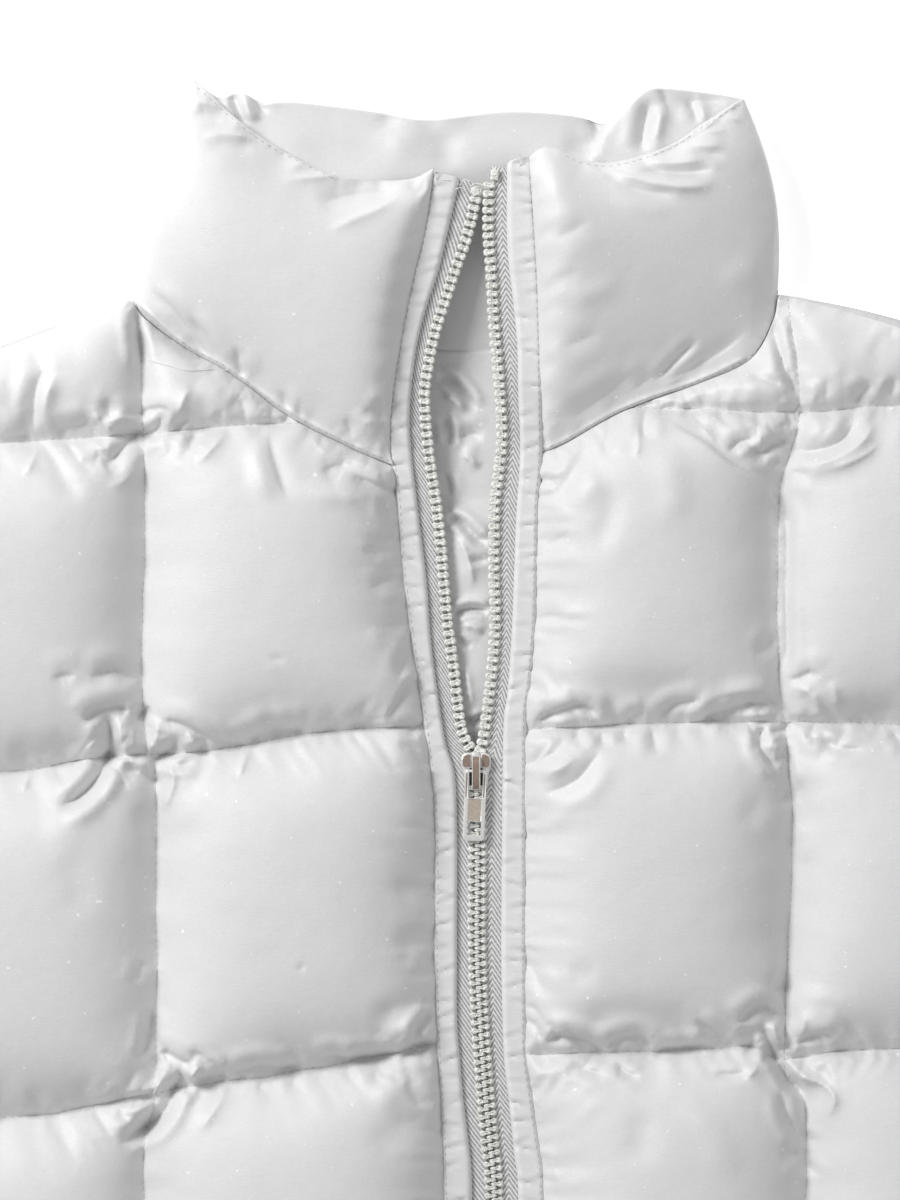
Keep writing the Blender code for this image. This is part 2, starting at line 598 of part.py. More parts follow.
def strip(name, edge_a, edge_b, base, thick, material, top_y):
    """A flat strip down the front between two edges."""
    stops = list(np.arange(HEM_END_Y + 2.0, 80.0, 18.0)) + list(np.arange(80.0, top_y, 8.0))
    rings = []
    for y in stops + [top_y]:
        low = base + zip_lift(y)
        a, b = edge_a(y), edge_b(y)
        rings.append([(a, y, low), (b, y, low), (b, y, low + thick), (a, y, low + thick)])
    return loft(name, rings, material)


def tapes_and_bands():
    for side, word, stitch, tape, teeth in ((-1, "left", LEFT_STITCH, LEFT_TAPE, LEFT_TEETH),
                                            (1, "right", RIGHT_STITCH, RIGHT_TAPE, RIGHT_TEETH)):
        strip(f"zip_tape_{word}",
              lambda y: value_at(stitch, y) - side * 2 * GAP,
              lambda y: value_at(teeth, y) + side * CHAIN_GAP,
              TAPE_BASE, TAPE_THICK, TAPE, ZIP_TOP_Y)
        strip(f"band_{word}",
              lambda y: value_at(stitch, y) - side * GAP,
              lambda y: value_at(tape, y),
              TAPE_BASE + TAPE_THICK + CHAIN_GAP, BAND_THICK, SHELL, ZIP_TOP_Y)


def shield(wide, end_wide, top_y, low_y):
    """Outline of a slider plate: wide where the chain opens, narrow where it closes."""
    half, end = wide / 2, end_wide / 2
    right = [(0.35 * half, top_y), (0.85 * half, top_y - 0.5), (half, top_y - 1.8),
             (half, top_y - 4.0), (end + 0.4, low_y + 1.6), (end, low_y + 0.4),
             (end - 0.5, low_y)]
    left = [(-x, y) for x, y in reversed(right)]
    return [(SLIDER_X + x, y) for x, y in right + left]


def slider():
    """Two plates joined by a post, with lips round the tapes and a bail on top."""
    low_y = SLIDER_TOP_Y - SLIDER_LONG
    outline = shield(SLIDER_WIDE, SLIDER_END_WIDE, SLIDER_TOP_Y, low_y)
    pieces = []
    for word, low, high in (("upper", THROAT[1], THROAT[1] + PLATE_THICK),
                            ("lower", THROAT[0] - PLATE_THICK, THROAT[0])):
        bm = bmesh.new()
        plate(bm, outline, low, high)
        bmesh.ops.recalc_face_normals(bm, faces=bm.faces)
        pieces.append((word, bm))
    body = new_object("slider", pieces[0][1], METAL)
    lower = new_object("slider lower plate", pieces[1][1], None, cutter=True)
    bm = bmesh.new()
    block(bm, (SLIDER_X - 0.9, SLIDER_TOP_Y - 2.6, THROAT[0] - 0.5),
          (SLIDER_X + 0.9, SLIDER_TOP_Y - 0.2, THROAT[1] + 0.5))
    post = new_object("slider post", bm, None, cutter=True)
    top = THROAT[1] + PLATE_THICK
    arch_top = top + BAIL_CLEAR + BAIL_BAR
    profile = [(BAIL_SPAN[0], top - 0.3), (BAIL_SPAN[0], arch_top - 0.9),
               (BAIL_SPAN[0] + 0.9, arch_top), (BAIL_SPAN[1] - 0.9, arch_top),
               (BAIL_SPAN[1], arch_top - 0.9), (BAIL_SPAN[1], top - 0.3),
               (BAIL_SPAN[1] - BAIL_BAR, top - 0.3), (BAIL_SPAN[1] - BAIL_BAR, top + BAIL_CLEAR),
               (BAIL_SPAN[0] + BAIL_BAR, top + BAIL_CLEAR), (BAIL_SPAN[0] + BAIL_BAR, top - 0.3)]
    bm = bmesh.new()
    face = bm.faces.new([bm.verts.new((SLIDER_X - BAIL_WIDE / 2, y, z)) for y, z in profile])
    swept = bmesh.ops.extrude_face_region(bm, geom=[face])["geom"]
    far = [g for g in swept if isinstance(g, bmesh.types.BMVert)]
    bmesh.ops.translate(bm, vec=(BAIL_WIDE, 0.0, 0.0), verts=far)
    bmesh.ops.recalc_face_normals(bm, faces=bm.faces)
    bail = new_object("slider bail", bm, None, cutter=True)
    boolean(body, post, "UNION")
    boolean(body, lower, "UNION")
    boolean(body, bail, "UNION")


def tab_outline(wide, top_y, low_y, corner):
    half = wide / 2
    return [(half - corner, top_y), (half, top_y - corner), (half, low_y + corner),
            (half - corner, low_y), (corner - half, low_y), (-half, low_y + corner),
            (-half, top_y - corner), (corner - half, top_y)]


def pull_tab():
    """A flat tab with two windows; its top bar turns under the slider's bail."""
    pivot_z = THROAT[1] + PLATE_THICK + BAIL_CLEAR / 2
    half_bar = TAB_THICK / 2
    low_y = half_bar - TAB_LONG
    bm = bmesh.new()
    plate(bm, tab_outline(TAB_WIDE, half_bar, low_y, 0.9), -half_bar, half_bar)
    bmesh.ops.recalc_face_normals(bm, faces=bm.faces)
    tab = new_object("pull_tab", bm, METAL)
    windows = (("tab upper window", TAB_HOLE_WIDE, -half_bar, -half_bar - TAB_HOLE_LONG),
               ("tab lower window", TAB_WINDOW[0], low_y + TAB_WINDOW[1] + TAB_WINDOW[2],
                low_y + TAB_WINDOW[1]))
    for name, wide, top_y, bottom_y in windows:
        bm = bmesh.new()
        block(bm, (-wide / 2, bottom_y, -2.0), (wide / 2, top_y, 2.0))
        window = new_object(name, bm, None, cutter=True)
        window.parent = tab
        boolean(tab, window, "DIFFERENCE")
    tab.location = (SLIDER_X * MM, TAB_PIVOT_Y * MM, pivot_z * MM)


# ---------------------------------------------------------------- make it

for old in list(bpy.data.objects):
    bpy.data.objects.remove(old, do_unlink=True)

JACKET = bpy.data.collections.new("quilted bomber jacket")
CUTTERS = bpy.data.collections.new("cutters")
for group in (JACKET, CUTTERS):
    bpy.context.scene.collection.children.link(group)

SHELL = finish_material("shell", (0.74, 0.74, 0.75), 0.45, sheen=0.3)
TAPE = finish_material("zip_tape", (0.6, 0.6, 0.62), 0.85)
METAL = finish_material("zip_metal", (0.76, 0.73, 0.68), 0.32, metallic=0.9)

front("front_left", -1, LEFT_NECK, LEFT_SHOULDER, LEFT_STITCH, LEFT_ROWS, LEFT_COLUMNS)
front("front_right", 1, RIGHT_NECK, RIGHT_SHOULDER, RIGHT_STITCH, RIGHT_ROWS, RIGHT_COLUMNS)
back()
hem_pieces()
sleeve("sleeve_left", "sleeve slit left", -1, LEFT_SHOULDER)
sleeve("sleeve_right", "sleeve slit right", 1, RIGHT_SHOULDER)
cuff("cuff_left", "cuff slit left", -1)
cuff("cuff_right", "cuff slit right", 1)
collar()
tapes_and_bands()
slider()
pull_tab()
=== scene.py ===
"""Looks of a quilted bomber jacket that lies on its back with its zip partly open.

The frame's sizes are in millimetres here and are turned to metres by MM.
Places read off the picture go through seen(), which turns its pixels to the frame's millimetres.
"""

import math

import bmesh
import bpy
import numpy as np
from mathutils import Matrix, Vector, noise
from mathutils.geometry import delaunay_2d_cdt
from mathutils.bvhtree import BVHTree
from mathutils.kdtree import KDTree


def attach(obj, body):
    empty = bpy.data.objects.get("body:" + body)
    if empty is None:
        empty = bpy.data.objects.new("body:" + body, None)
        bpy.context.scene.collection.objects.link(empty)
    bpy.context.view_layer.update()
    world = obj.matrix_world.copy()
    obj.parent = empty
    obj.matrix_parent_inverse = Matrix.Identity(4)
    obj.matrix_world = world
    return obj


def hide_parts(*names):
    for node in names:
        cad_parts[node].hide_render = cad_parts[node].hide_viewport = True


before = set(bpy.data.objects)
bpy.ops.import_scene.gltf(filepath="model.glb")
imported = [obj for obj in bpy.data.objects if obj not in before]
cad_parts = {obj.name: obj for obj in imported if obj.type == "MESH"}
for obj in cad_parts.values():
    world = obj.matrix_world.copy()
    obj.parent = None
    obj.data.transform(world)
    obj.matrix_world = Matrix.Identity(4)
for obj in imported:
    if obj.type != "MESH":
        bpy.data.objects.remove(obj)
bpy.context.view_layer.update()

MM = 0.001
GAP = 0.4  # left between two pieces where a seam joins them

# Heights above the surface
BACK_TOP = 12.0  # inside face of the back panel
LAYER_GAP = 0.6  # between the back and what lies on it
FRONT_BASE = BACK_TOP + LAYER_GAP
SEAM_WALL = 4.0  # wall at a quilting seam
EDGE_LIFT = 5.0  # rounded lower edge of what rests on the surface
EDGE_INSET = 9.0

# Quilting
BOX_TALL = 119.0

# Body
HEM_SEAM_Y = -310.0
HEM_END_Y = -360.0
ARMPIT = (280.0, 20.0)
SIDE_HEM_X = 276.0
BACK_SHOULDER_RISE = 3.5  # the back shows above the right front's shoulder ridge

# Sleeve, measured along its own length and across it
SLEEVE_TILT = math.radians(28.0)
SLEEVE_END_WIDE = 125.0
CUFF_LONG = 50.0
CUFF_WIDE = 112.0

# Collar
COLLAR_RISE = 4.0
COLLAR_FOLD_WALL = 7.0
COLLAR_FOLD_RADIUS = 30.0

# Zip
TAPE_BASE = 15.0
TAPE_THICK = 1.2
BAND_THICK = 2.2
CHAIN_GAP = 0.3
SLIDER_X = 5.8
SLIDER_TOP_Y = 117.2
SLIDER_LONG = 13.6
SLIDER_WIDE = 10.8
SLIDER_END_WIDE = 7.4
PLATE_THICK = 1.2
THROAT = (14.2, 17.0)  # between the slider's two plates
BAIL_WIDE = 3.0
BAIL_BAR = 1.0
BAIL_SPAN = (104.0, 115.8)
BAIL_CLEAR = 1.9
TAB_PIVOT_Y = 110.5
TAB_LONG = 25.6
TAB_WIDE = 7.8
TAB_THICK = 1.0
TAB_HOLE_WIDE = 5.0
TAB_HOLE_LONG = 9.4
TAB_WINDOW = (4.6, 2.1, 4.9)  # lower window: width, then from the tab's end to its two ends

# Edges of the zip, each row: height up the garment (y), x. Image left is negative.
LEFT_STITCH = ((-360, -7.0), (-200, -6.5), (-90, -4.8), (-34, -5.4), (-9, -6.5), (16, -7.9),
               (47, -8.6), (71, -8.3), (100, -9.0), (129, -12.6), (165, -18.0), (187, -20.5),
               (215, -22.7), (226, -25.2), (244, -24.5), (267, -20.9), (290, -16.2),
               (307, -12.2), (332, -8.8))
LEFT_TAPE = ((-360, 1.2), (-200, 1.7), (-90, 3.9), (-40, 4.3), (-24, 3.2), (-9, 1.4), (7, 0.0),
             (22, -1.1), (47, -1.1), (104, -1.4), (122, -5.4), (154, -10.1), (178, -11.9),
             (202, -14.8), (227, -17.6), (242, -18.0), (262, -15.8), (277, -12.2), (290, -7.9),
             (305, -4.3), (332, 1.8))
LEFT_TEETH = ((-360, 8.0), (-200, 9.0), (-90, 12.2), (-40, 12.2), (-24, 10.8), (-12, 9.7),
              (10, 7.9), (35, 6.5), (52, 6.1), (82, 6.2), (113, 5.8), (118, 4.0), (124, 0.9),
              (131, -0.4), (152, -2.9), (168, -5.0), (190, -6.8), (207, -8.6), (224, -11.2),
              (240, -12.6), (249, -12.6), (256, -11.5), (264, -10.1), (273, -7.6), (283, -4.3),
              (292, -1.4), (302, 2.2), (318, 5.8), (332, 7.2))
RIGHT_TEETH = ((-360, 8.0), (-200, 9.0), (-90, 12.2), (-40, 12.2), (-24, 10.8), (-12, 9.7),
               (10, 7.9), (35, 6.5), (52, 6.1), (82, 6.2), (113, 5.8), (118, 7.6), (126, 9.0),
               (144, 11.2), (164, 12.6), (185, 12.2), (207, 12.6), (216, 13.7), (231, 15.1),
               (251, 14.0), (271, 12.2), (290, 11.2), (308, 10.1), (332, 11.0))
RIGHT_TAPE = ((-360, 14.8), (-200, 15.8), (-90, 20.4), (-42, 20.9), (-27, 19.4), (-9, 17.6),
              (7, 15.8), (28, 15.1), (52, 14.8), (123, 15.5), (137, 16.9), (157, 18.4),
              (181, 19.4), (202, 20.2), (226, 21.6), (246, 20.9), (264, 20.5), (279, 19.1),
              (301, 16.9), (332, 16.9))
RIGHT_STITCH = ((-360, 23.0), (-200, 24.2), (-90, 29.0), (-40, 29.5), (-24, 27.7), (-9, 25.6),
                (7, 23.4), (22, 23.0), (123, 23.0), (140, 24.5), (161, 26.3), (181, 27.0),
                (206, 27.4), (225, 28.8), (264, 28.4), (286, 27.7), (305, 26.6), (332, 24.8))

# Neck seam of each front, from the zip to the shoulder: x, y
LEFT_NECK = ((-24.9, 220.5), (-40.7, 227.5), (-62.3, 238.7), (-82.8, 253.8), (-99.4, 263.2),
             (-114.1, 274), (-118.4, 281))
RIGHT_NECK = ((28.9, 225), (37.8, 228.3), (58.3, 239.8), (86.4, 250.2), (104.8, 258.9),
              (113, 273), (114.6, 283))
# Top edge of each collar end, from the zip to the tip of the fold: x, y
LEFT_COLLAR_TOP = ((-9.2, 327.6), (-19.1, 323.4), (-45.4, 325), (-72.7, 339.5),
                   (-93.2, 357.1), (-96.8, 360))
RIGHT_COLLAR_TOP = ((25.2, 331.2), (28.6, 334.4), (32, 335.4), (37, 333.7), (42.8, 330.8),
                    (55.8, 329.8), (74.9, 335.5),
                    (86.4, 343.1), (99.7, 351.5), (103, 352.8))
# Back of the collar, from the left fold to the right: x, y
BACK_NECK = ((-118.4, 281), (-70, 268), (0, 262), (70, 269), (114.6, 283))
BACK_COLLAR_TOP = ((-96.8, 360), (-90, 354.8), (-85.8, 353.2), (-82, 355.3), (-78.6, 355.7),
                   (-75, 353.6), (-71, 351.2), (-66, 352), (-58, 351.8), (-31, 348.5),
                   (-12.6, 345.5), (17, 348.5), (43, 346.7), (53, 343.5), (63, 352.8),
                   (70, 357), (95, 354.5), (103, 352.8))
LEFT_FOLD_BULGE = 3.6
RIGHT_FOLD_BULGE = 5.2

# Shoulder seams from the collar outwards: x, y
LEFT_SHOULDER = ((-119.2, 280.2), (-131, 276), (-165.6, 262.4), (-236, 236))
RIGHT_SHOULDER = ((115.2, 282.2), (126, 279.5), (155.5, 271), (236, 244))
# Armhole from the shoulder down to the armpit: x, y on the right side
ARMHOLE_DROP = ((229, 190), (226, 140), (232, 90), (252, 46), ARMPIT)

# Quilting seams across each front, from the zip outwards: x, y
LEFT_ROWS = (((-52, 236), (-77.8, 235.1), (-114.1, 231.9), (-165.6, 228.6), (-240, 226)),
             ((0, 127), (-13.7, 126.7), (-51.8, 124.2), (-93.2, 117.4), (-125.3, 115.9),
              (-165.6, 110.2), (-240, 107)),
             ((0, 13), (-8.6, 12.6), (-46.8, 4.3), (-98.3, -3.2), (-134.6, -10.4),
              (-165.6, -14), (-290, -18)))
RIGHT_ROWS = (((63, 241.4), (70.9, 241.2), (121.3, 239.8), (158.4, 241.9), (242, 240.5)),
              ((10, 124.6), (84.2, 128.2), (116.6, 128.2), (158.4, 127.5), (242, 122)),
              ((10, 8.7), (73.8, 9.7), (104.8, 11.5), (117.4, 6.9), (158.4, 10.8),
               (290, 6)))
LOWER_ROWS = (-112, -226)
# Quilting seams down each front, from the shoulder: x, y
LEFT_COLUMNS = (((-117.4, 284), (-114.8, 261.4), (-113.4, 203.8), (-114.5, 141.5),
                 (-112, 116.3), (-109.4, 105.9), (-109.4, 6.1), (-112, -18.7),
                 (-113.8, -44), (-112, -320)),
                ((-222, 110), (-219, 40), (-218, -320)))
RIGHT_COLUMNS = (((116.6, 290), (122, 240.9), (114.8, 207.7), (114.6, 150),
                  (117.7, 118.5), (119.5, 84.2), (116.6, 6.1), (122.4, -5), (124.6, -44),
                  (121, -320)),
                 ((228, 110), (226, 40), (225, -320)))


# ---------------------------------------------------------------- small mathematics

def ease(t):
    """0 to 1 with a soft start and end."""
    t = min(max(t, 0.0), 1.0)
    return t * t * (3.0 - 2.0 * t)


def dome(t):
    """A quarter round: steep at 0, level at 1."""
    t = min(max(t, 0.0), 1.0)
    return math.sqrt(1.0 - (1.0 - t) ** 2)


def value_at(table, where):
    """Second column of a table at a place in its first column."""
    keys = [row[0] for row in table]
    values = [row[1] for row in table]
    if keys[0] > keys[-1]:
        keys.reverse()
        values.reverse()
    return float(np.interp(where, keys, values))


def along(points, share):
    """The point at a share of a polyline's length."""
    pts = np.array(points, float)
    steps = np.linalg.norm(np.diff(pts, axis=0), axis=1)
    run = np.concatenate([[0.0], np.cumsum(steps)]) / steps.sum()
    return np.array([np.interp(share, run, pts[:, 0]), np.interp(share, run, pts[:, 1])])


CURVE_CUTS = 8  # points worked out between two given points of a curve
GRID_ROW = 0.866  # from row to row of a triangular grid, as a share of its pitch
SEAM_KEEP = 0.62  # grid points stay this share of the pitch away from seams
FINE_STEP = 0.5  # between the points that stand for a seam when distances are measured


def rounded(points, pitch):
    """A smooth curve through a few points, as points about a pitch apart."""
    pts = [np.array(p, float) for p in points]
    padded = [2 * pts[0] - pts[1]] + pts + [2 * pts[-1] - pts[-2]]
    dense = []
    for a, b, c, d in zip(padded, padded[1:], padded[2:], padded[3:]):
        for k in range(CURVE_CUTS):
            t = k / CURVE_CUTS
            dense.append(0.5 * (2 * b + (c - a) * t + (2 * a - 5 * b + 4 * c - d) * t ** 2
                                + (3 * b - a - 3 * c + d) * t ** 3))
    dense.append(pts[-1])
    length = sum(np.linalg.norm(q - p) for p, q in zip(dense, dense[1:]))
    count = max(1, round(length / pitch))
    return [tuple(along(dense, k / count)) for k in range(count + 1)]


def search_tree(points):
    """A tree that finds the nearest of some flat points."""
    tree = KDTree(len(points))
    for k, (x, y) in enumerate(points):
        tree.insert((x, y, 0.0), k)
    tree.balance()
    return tree


def distance(points, lines):
    """Distance of each point to the nearest of some polylines."""
    dense = [p for line in lines for p in finely(line, FINE_STEP)]
    if not dense:
        return np.full(len(points), np.inf)
    tree = search_tree(dense)
    return np.array([tree.find((p[0], p[1], 0.0))[2] for p in points])


def finely(line, pitch):
    """The points of a polyline, with more between them."""
    out = []
    for (ax, ay), (bx, by) in zip(line, line[1:]):
        count = max(1, math.ceil(math.dist((ax, ay), (bx, by)) / pitch))
        out += [(ax + (bx - ax) * k / count, ay + (by - ay) * k / count) for k in range(count)]
    return out + [tuple(line[-1])]


def shifted(points, dx, dy):
    """Points moved by dx and dy."""
    return [(x + dx, y + dy) for x, y in points]


def mirrored(points):
    """Points on the other side of x = 0."""
    return [(-x, y) for x, y in points]


def inside_points(outline, lines, pitch):
    """A triangular grid of points that keeps clear of an outline and of seam lines."""
    ring = list(outline) + [outline[0]]
    xs = [p[0] for p in outline]
    ys = [p[1] for p in outline]
    rows = int((max(ys) - min(ys)) / (pitch * GRID_ROW)) + 1
    columns = int((max(xs) - min(xs)) / pitch) + 1
    grid = []
    for j in range(rows):
        for i in range(columns):
            grid.append((min(xs) + (i + 0.5 * (j % 2)) * pitch, min(ys) + j * pitch * GRID_ROW))
    clear = distance(grid, [ring] + list(lines)) > SEAM_KEEP * pitch
    return [p for p, ok in zip(grid, clear) if ok]


def smooth_edge(table):
    """A table of y and x as a smooth function of y."""
    curve = rounded([(x, y) for y, x in table], 2.0)
    rows = sorted((y, x) for x, y in curve)
    ys = np.array([r[0] for r in rows])
    xs = np.array([r[1] for r in rows])
    return lambda y: float(np.interp(y, ys, xs))


STITCH_COURSE = {-1: smooth_edge(LEFT_STITCH), 1: smooth_edge(RIGHT_STITCH)}


# ---------------------------------------------------------------- objects and meshes

def linked(name, data):
    """A new object with this data, put into the scene."""
    obj = bpy.data.objects.new(name, data)
    bpy.context.scene.collection.objects.link(obj)
    return obj


def mesh_from(bm, name):
    """Turn a bmesh into a mesh and let it go."""
    mesh = bpy.data.meshes.new(name)
    bm.to_mesh(mesh)
    bm.free()
    return mesh


def placed(name, mesh, material, body="jacket"):
    """Put a finished mesh, in metres, into the scene as a piece that rides on a body."""
    mesh.materials.append(material)
    mesh.shade_smooth()
    obj = linked(name, mesh)
    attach(obj, body)
    return obj


def show(bm, name, material, node, body="jacket"):
    """Put a finished bmesh, in millimetres, into the scene in place of a node."""
    bmesh.ops.scale(bm, vec=(MM, MM, MM), verts=bm.verts)
    obj = placed(name, mesh_from(bm, name), material, body)
    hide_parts(node)
    return obj


def settled(obj):
    """The mesh of an object as its modifiers leave it; the object itself is taken away."""
    bpy.context.view_layer.update()
    graph = bpy.context.evaluated_depsgraph_get()
    mesh = bpy.data.meshes.new_from_object(obj.evaluated_get(graph))
    bpy.data.objects.remove(obj)
    return mesh


def bridged(bm, rings):
    """Rings of points joined by rows of faces: gives the rings' vertices and the rows of faces."""
    loops = [[bm.verts.new(p) for p in ring] for ring in rings]
    rows = []
    for here, there in zip(loops, loops[1:]):
        around = len(here)
        rows.append([bm.faces.new((here[k], here[(k + 1) % around], there[(k + 1) % around],
                                   there[k])) for k in range(around)])
    return loops, rows


# ---------------------------------------------------------------- picture, light and stage

PICTURE = (900, 1200)  # pixels
MM_PER_PIXEL = 0.36
PICTURE_ZERO_X = 460.0  # the pixel column over the frame's x = 0
PICTURE_TOP = 388.08  # the frame's y at the top of the picture
CAMERA_HIGH = 3.0  # metres above the surface
CHIP_HIGH = 24.0  # camera chip, mm
SHEET_Z = 18.0  # height of what fills most of the picture
ROOM_LIGHT = 0.41  # strength of the pale room round the jacket
WINDOW_POWER = 42.0  # watts
FILL_POWER = 2.0


def seen(px, py):
    """Where a place in the picture lies in the frame, in millimetres."""
    return (px - PICTURE_ZERO_X) * MM_PER_PIXEL, PICTURE_TOP - MM_PER_PIXEL * py


def seen_all(points):
    """The same for several places."""
    return [seen(*p) for p in points]


def set_camera():
    """Straight down on the collar and the top of the zip, as in the picture."""
    data = bpy.data.cameras.new("camera")
    camera = linked("camera", data)
    middle = seen(PICTURE[0] / 2, PICTURE[1] / 2)
    camera.location = (middle[0] * MM, middle[1] * MM, CAMERA_HIGH)
    data.sensor_fit = "VERTICAL"
    data.sensor_height = CHIP_HIGH
    reach = CAMERA_HIGH - SHEET_Z * MM
    data.lens = CHIP_HIGH * reach / (PICTURE[1] * MM_PER_PIXEL * MM)
    data.clip_end = 20.0
    bpy.context.scene.camera = camera


def area_light(name, place, wide, power):
    """A square light that faces the jacket's middle."""
    data = bpy.data.lights.new(name, "AREA")
    data.shape = "SQUARE"
    data.size = wide
    data.energy = power
    lamp = linked(name, data)
    lamp.location = place
    toward = Vector((0.0, 0.1, 0.0)) - Vector(place)
    lamp.rotation_euler = toward.to_track_quat("-Z", "Y").to_euler()


def set_light():
    """A wide soft light from the upper left and a pale room."""
    world = bpy.data.worlds.new("pale room")
    bpy.context.scene.world = world
    world.use_nodes = True
    background = world.node_tree.nodes["Background"]
    background.inputs["Color"].default_value = (1.0, 1.0, 1.0, 1.0)
    background.inputs["Strength"].default_value = ROOM_LIGHT
    area_light("window light", (-1.4, 1.25, 1.45), 0.8, WINDOW_POWER)
    area_light("fill light", (1.4, -0.6, 1.8), 1.6, FILL_POWER)
    bpy.context.scene.view_settings.view_transform = "Standard"


def set_stage():
    """A plain pale floor that the jacket lies on."""
    bm = bmesh.new()
    bmesh.ops.create_grid(bm, x_segments=1, y_segments=1, size=6.0)
    floor = linked("floor", mesh_from(bm, "floor"))
    floor.location.z = -0.0005
    paper = bpy.data.materials.new("pale paper")
    paper.use_nodes = True
    shader = paper.node_tree.nodes["Principled BSDF"]
    shader.inputs["Base Color"].default_value = (0.93, 0.93, 0.93, 1.0)
    shader.inputs["Roughness"].default_value = 0.9
    shader.inputs["Emission Color"].default_value = (1.0, 1.0, 1.0, 1.0)
    shader.inputs["Emission Strength"].default_value = 0.5
    floor.data.materials.append(paper)


# ---------------------------------------------------------------- finishes

class Finish:
    """A material and short ways to add nodes to it."""

    def __init__(self, name, colour, roughness, sockets=()):
        self.material = bpy.data.materials.new(name)
        self.material.use_nodes = True
        self.tree = self.material.node_tree
        self.shader = self.tree.nodes["Principled BSDF"]
        self.shader.inputs["Base Color"].default_value = (*colour, 1.0)
        self.shader.inputs["Roughness"].default_value = roughness
        for socket, value in dict(sockets).items():
            self.shader.inputs[socket].default_value = value
        self.place = self.tree.nodes.new("ShaderNodeTexCoord")

    def add(self, kind, inputs=(), **settings):
        """A node with its settings and with values or links on its inputs."""
        node = self.tree.nodes.new(kind)
        for key, value in settings.items():
            setattr(node, key, value)
        for key, value in dict(inputs).items():
            if isinstance(value, bpy.types.NodeSocket):
                self.tree.links.new(value, node.inputs[key])
            else:
                node.inputs[key].default_value = value
        return node

    def speckle(self, size, detail=2.0, rough=0.5, stretch=(1.0, 1.0, 1.0)):
        """Noise whose spots are about this many millimetres wide."""
        spread = self.add("ShaderNodeMapping", {"Vector": self.place.outputs["Object"],
                                                "Scale": stretch})
        spots = self.add("ShaderNodeTexNoise", {"Vector": spread.outputs[0],
                                                "Scale": 1.0 / (size * MM), "Detail": detail,
                                                "Roughness": rough})
        return spots.outputs["Fac"]

    def ramp(self, value, low, high, low_colour, high_colour):
        """A colour that changes between two levels of a value."""
        node = self.add("ShaderNodeValToRGB", {"Fac": value})
        node.color_ramp.elements[0].position = low
        node.color_ramp.elements[0].color = (*low_colour, 1.0)
        node.color_ramp.elements[1].position = high
        node.color_ramp.elements[1].color = (*high_colour, 1.0)
        return node.outputs["Color"]

    def mix(self, share, first, second):
        """One colour turning into another; each is a link or a plain colour."""
        node = self.tree.nodes.new("ShaderNodeMix")
        node.data_type = "RGBA"
        for key, value in ((0, share), (6, first), (7, second)):
            if isinstance(value, bpy.types.NodeSocket):
                self.tree.links.new(value, node.inputs[key])
            else:
                node.inputs[key].default_value = (*value, 1.0)
        return node.outputs[2]

    def sum(self, *parts):
        """Several values, each times its share, added up."""
        total = None
        for value, share in parts:
            scaled = self.add("ShaderNodeMath", {0: value, 1: share}, operation="MULTIPLY").outputs[0]
            if total is None:
                total = scaled
            else:
                total = self.add("ShaderNodeMath", {0: total, 1: scaled}, operation="ADD").outputs[0]
        return total

    def colour(self, value):
        """Link the base colour."""
        self.tree.links.new(value, self.shader.inputs["Base Color"])

    def relief(self, height, depth):
        """Bump from a height of 0 to 1 that stands for a depth in millimetres."""
        bump = self.add("ShaderNodeBump", {"Height": height, "Distance": depth * MM,
                                           "Strength": 1.0})
        self.tree.links.new(bump.outputs["Normal"], self.shader.inputs["Normal"])


GRAIN_DEPTH = 0.09  # of the shell's weave, mm
TAPE_RIB = 2.2  # from rib to rib of the tape's weave, mm


def shell_finish(name, tone):
    """Pale satin nylon: a close weave with a soft lustre, light puckering and pale flecks."""
    cloth = Finish(name, (tone, tone, tone), 0.42,
                   {"Sheen Weight": 0.25, "Sheen Roughness": 0.35, "Specular IOR Level": 0.42})
    grain = cloth.speckle(0.42, detail=3.0, rough=0.75)
    yarn = cloth.speckle(0.7, detail=2.0, stretch=(0.22, 1.6, 1.0))
    warp = cloth.speckle(0.7, detail=2.0, stretch=(1.6, 0.22, 1.0))
    cloud = cloth.speckle(38.0, detail=2.0)
    crinkle = cloth.speckle(9.0, detail=3.0, rough=0.45)
    swell = cloth.speckle(24.0, detail=1.5)
    mixed = cloth.sum((grain, 0.45), (yarn, 0.2), (warp, 0.15), (cloud, 0.2))
    low = tone * 0.955
    high = min(tone * 1.045, 0.95)
    weave = cloth.ramp(mixed, 0.38, 0.62, (low, low, low), (high, high, high))
    fleck = cloth.ramp(cloth.speckle(2.6, detail=1.0), 0.76, 0.80, (0, 0, 0), (1, 1, 1))
    cloth.colour(cloth.mix(fleck, weave, (0.93, 0.93, 0.93)))
    height = cloth.sum((grain, GRAIN_DEPTH), (yarn, GRAIN_DEPTH * 0.6), (crinkle, 0.24),
                       (swell, 0.55))
    cloth.relief(height, 1.0)
    return cloth.material


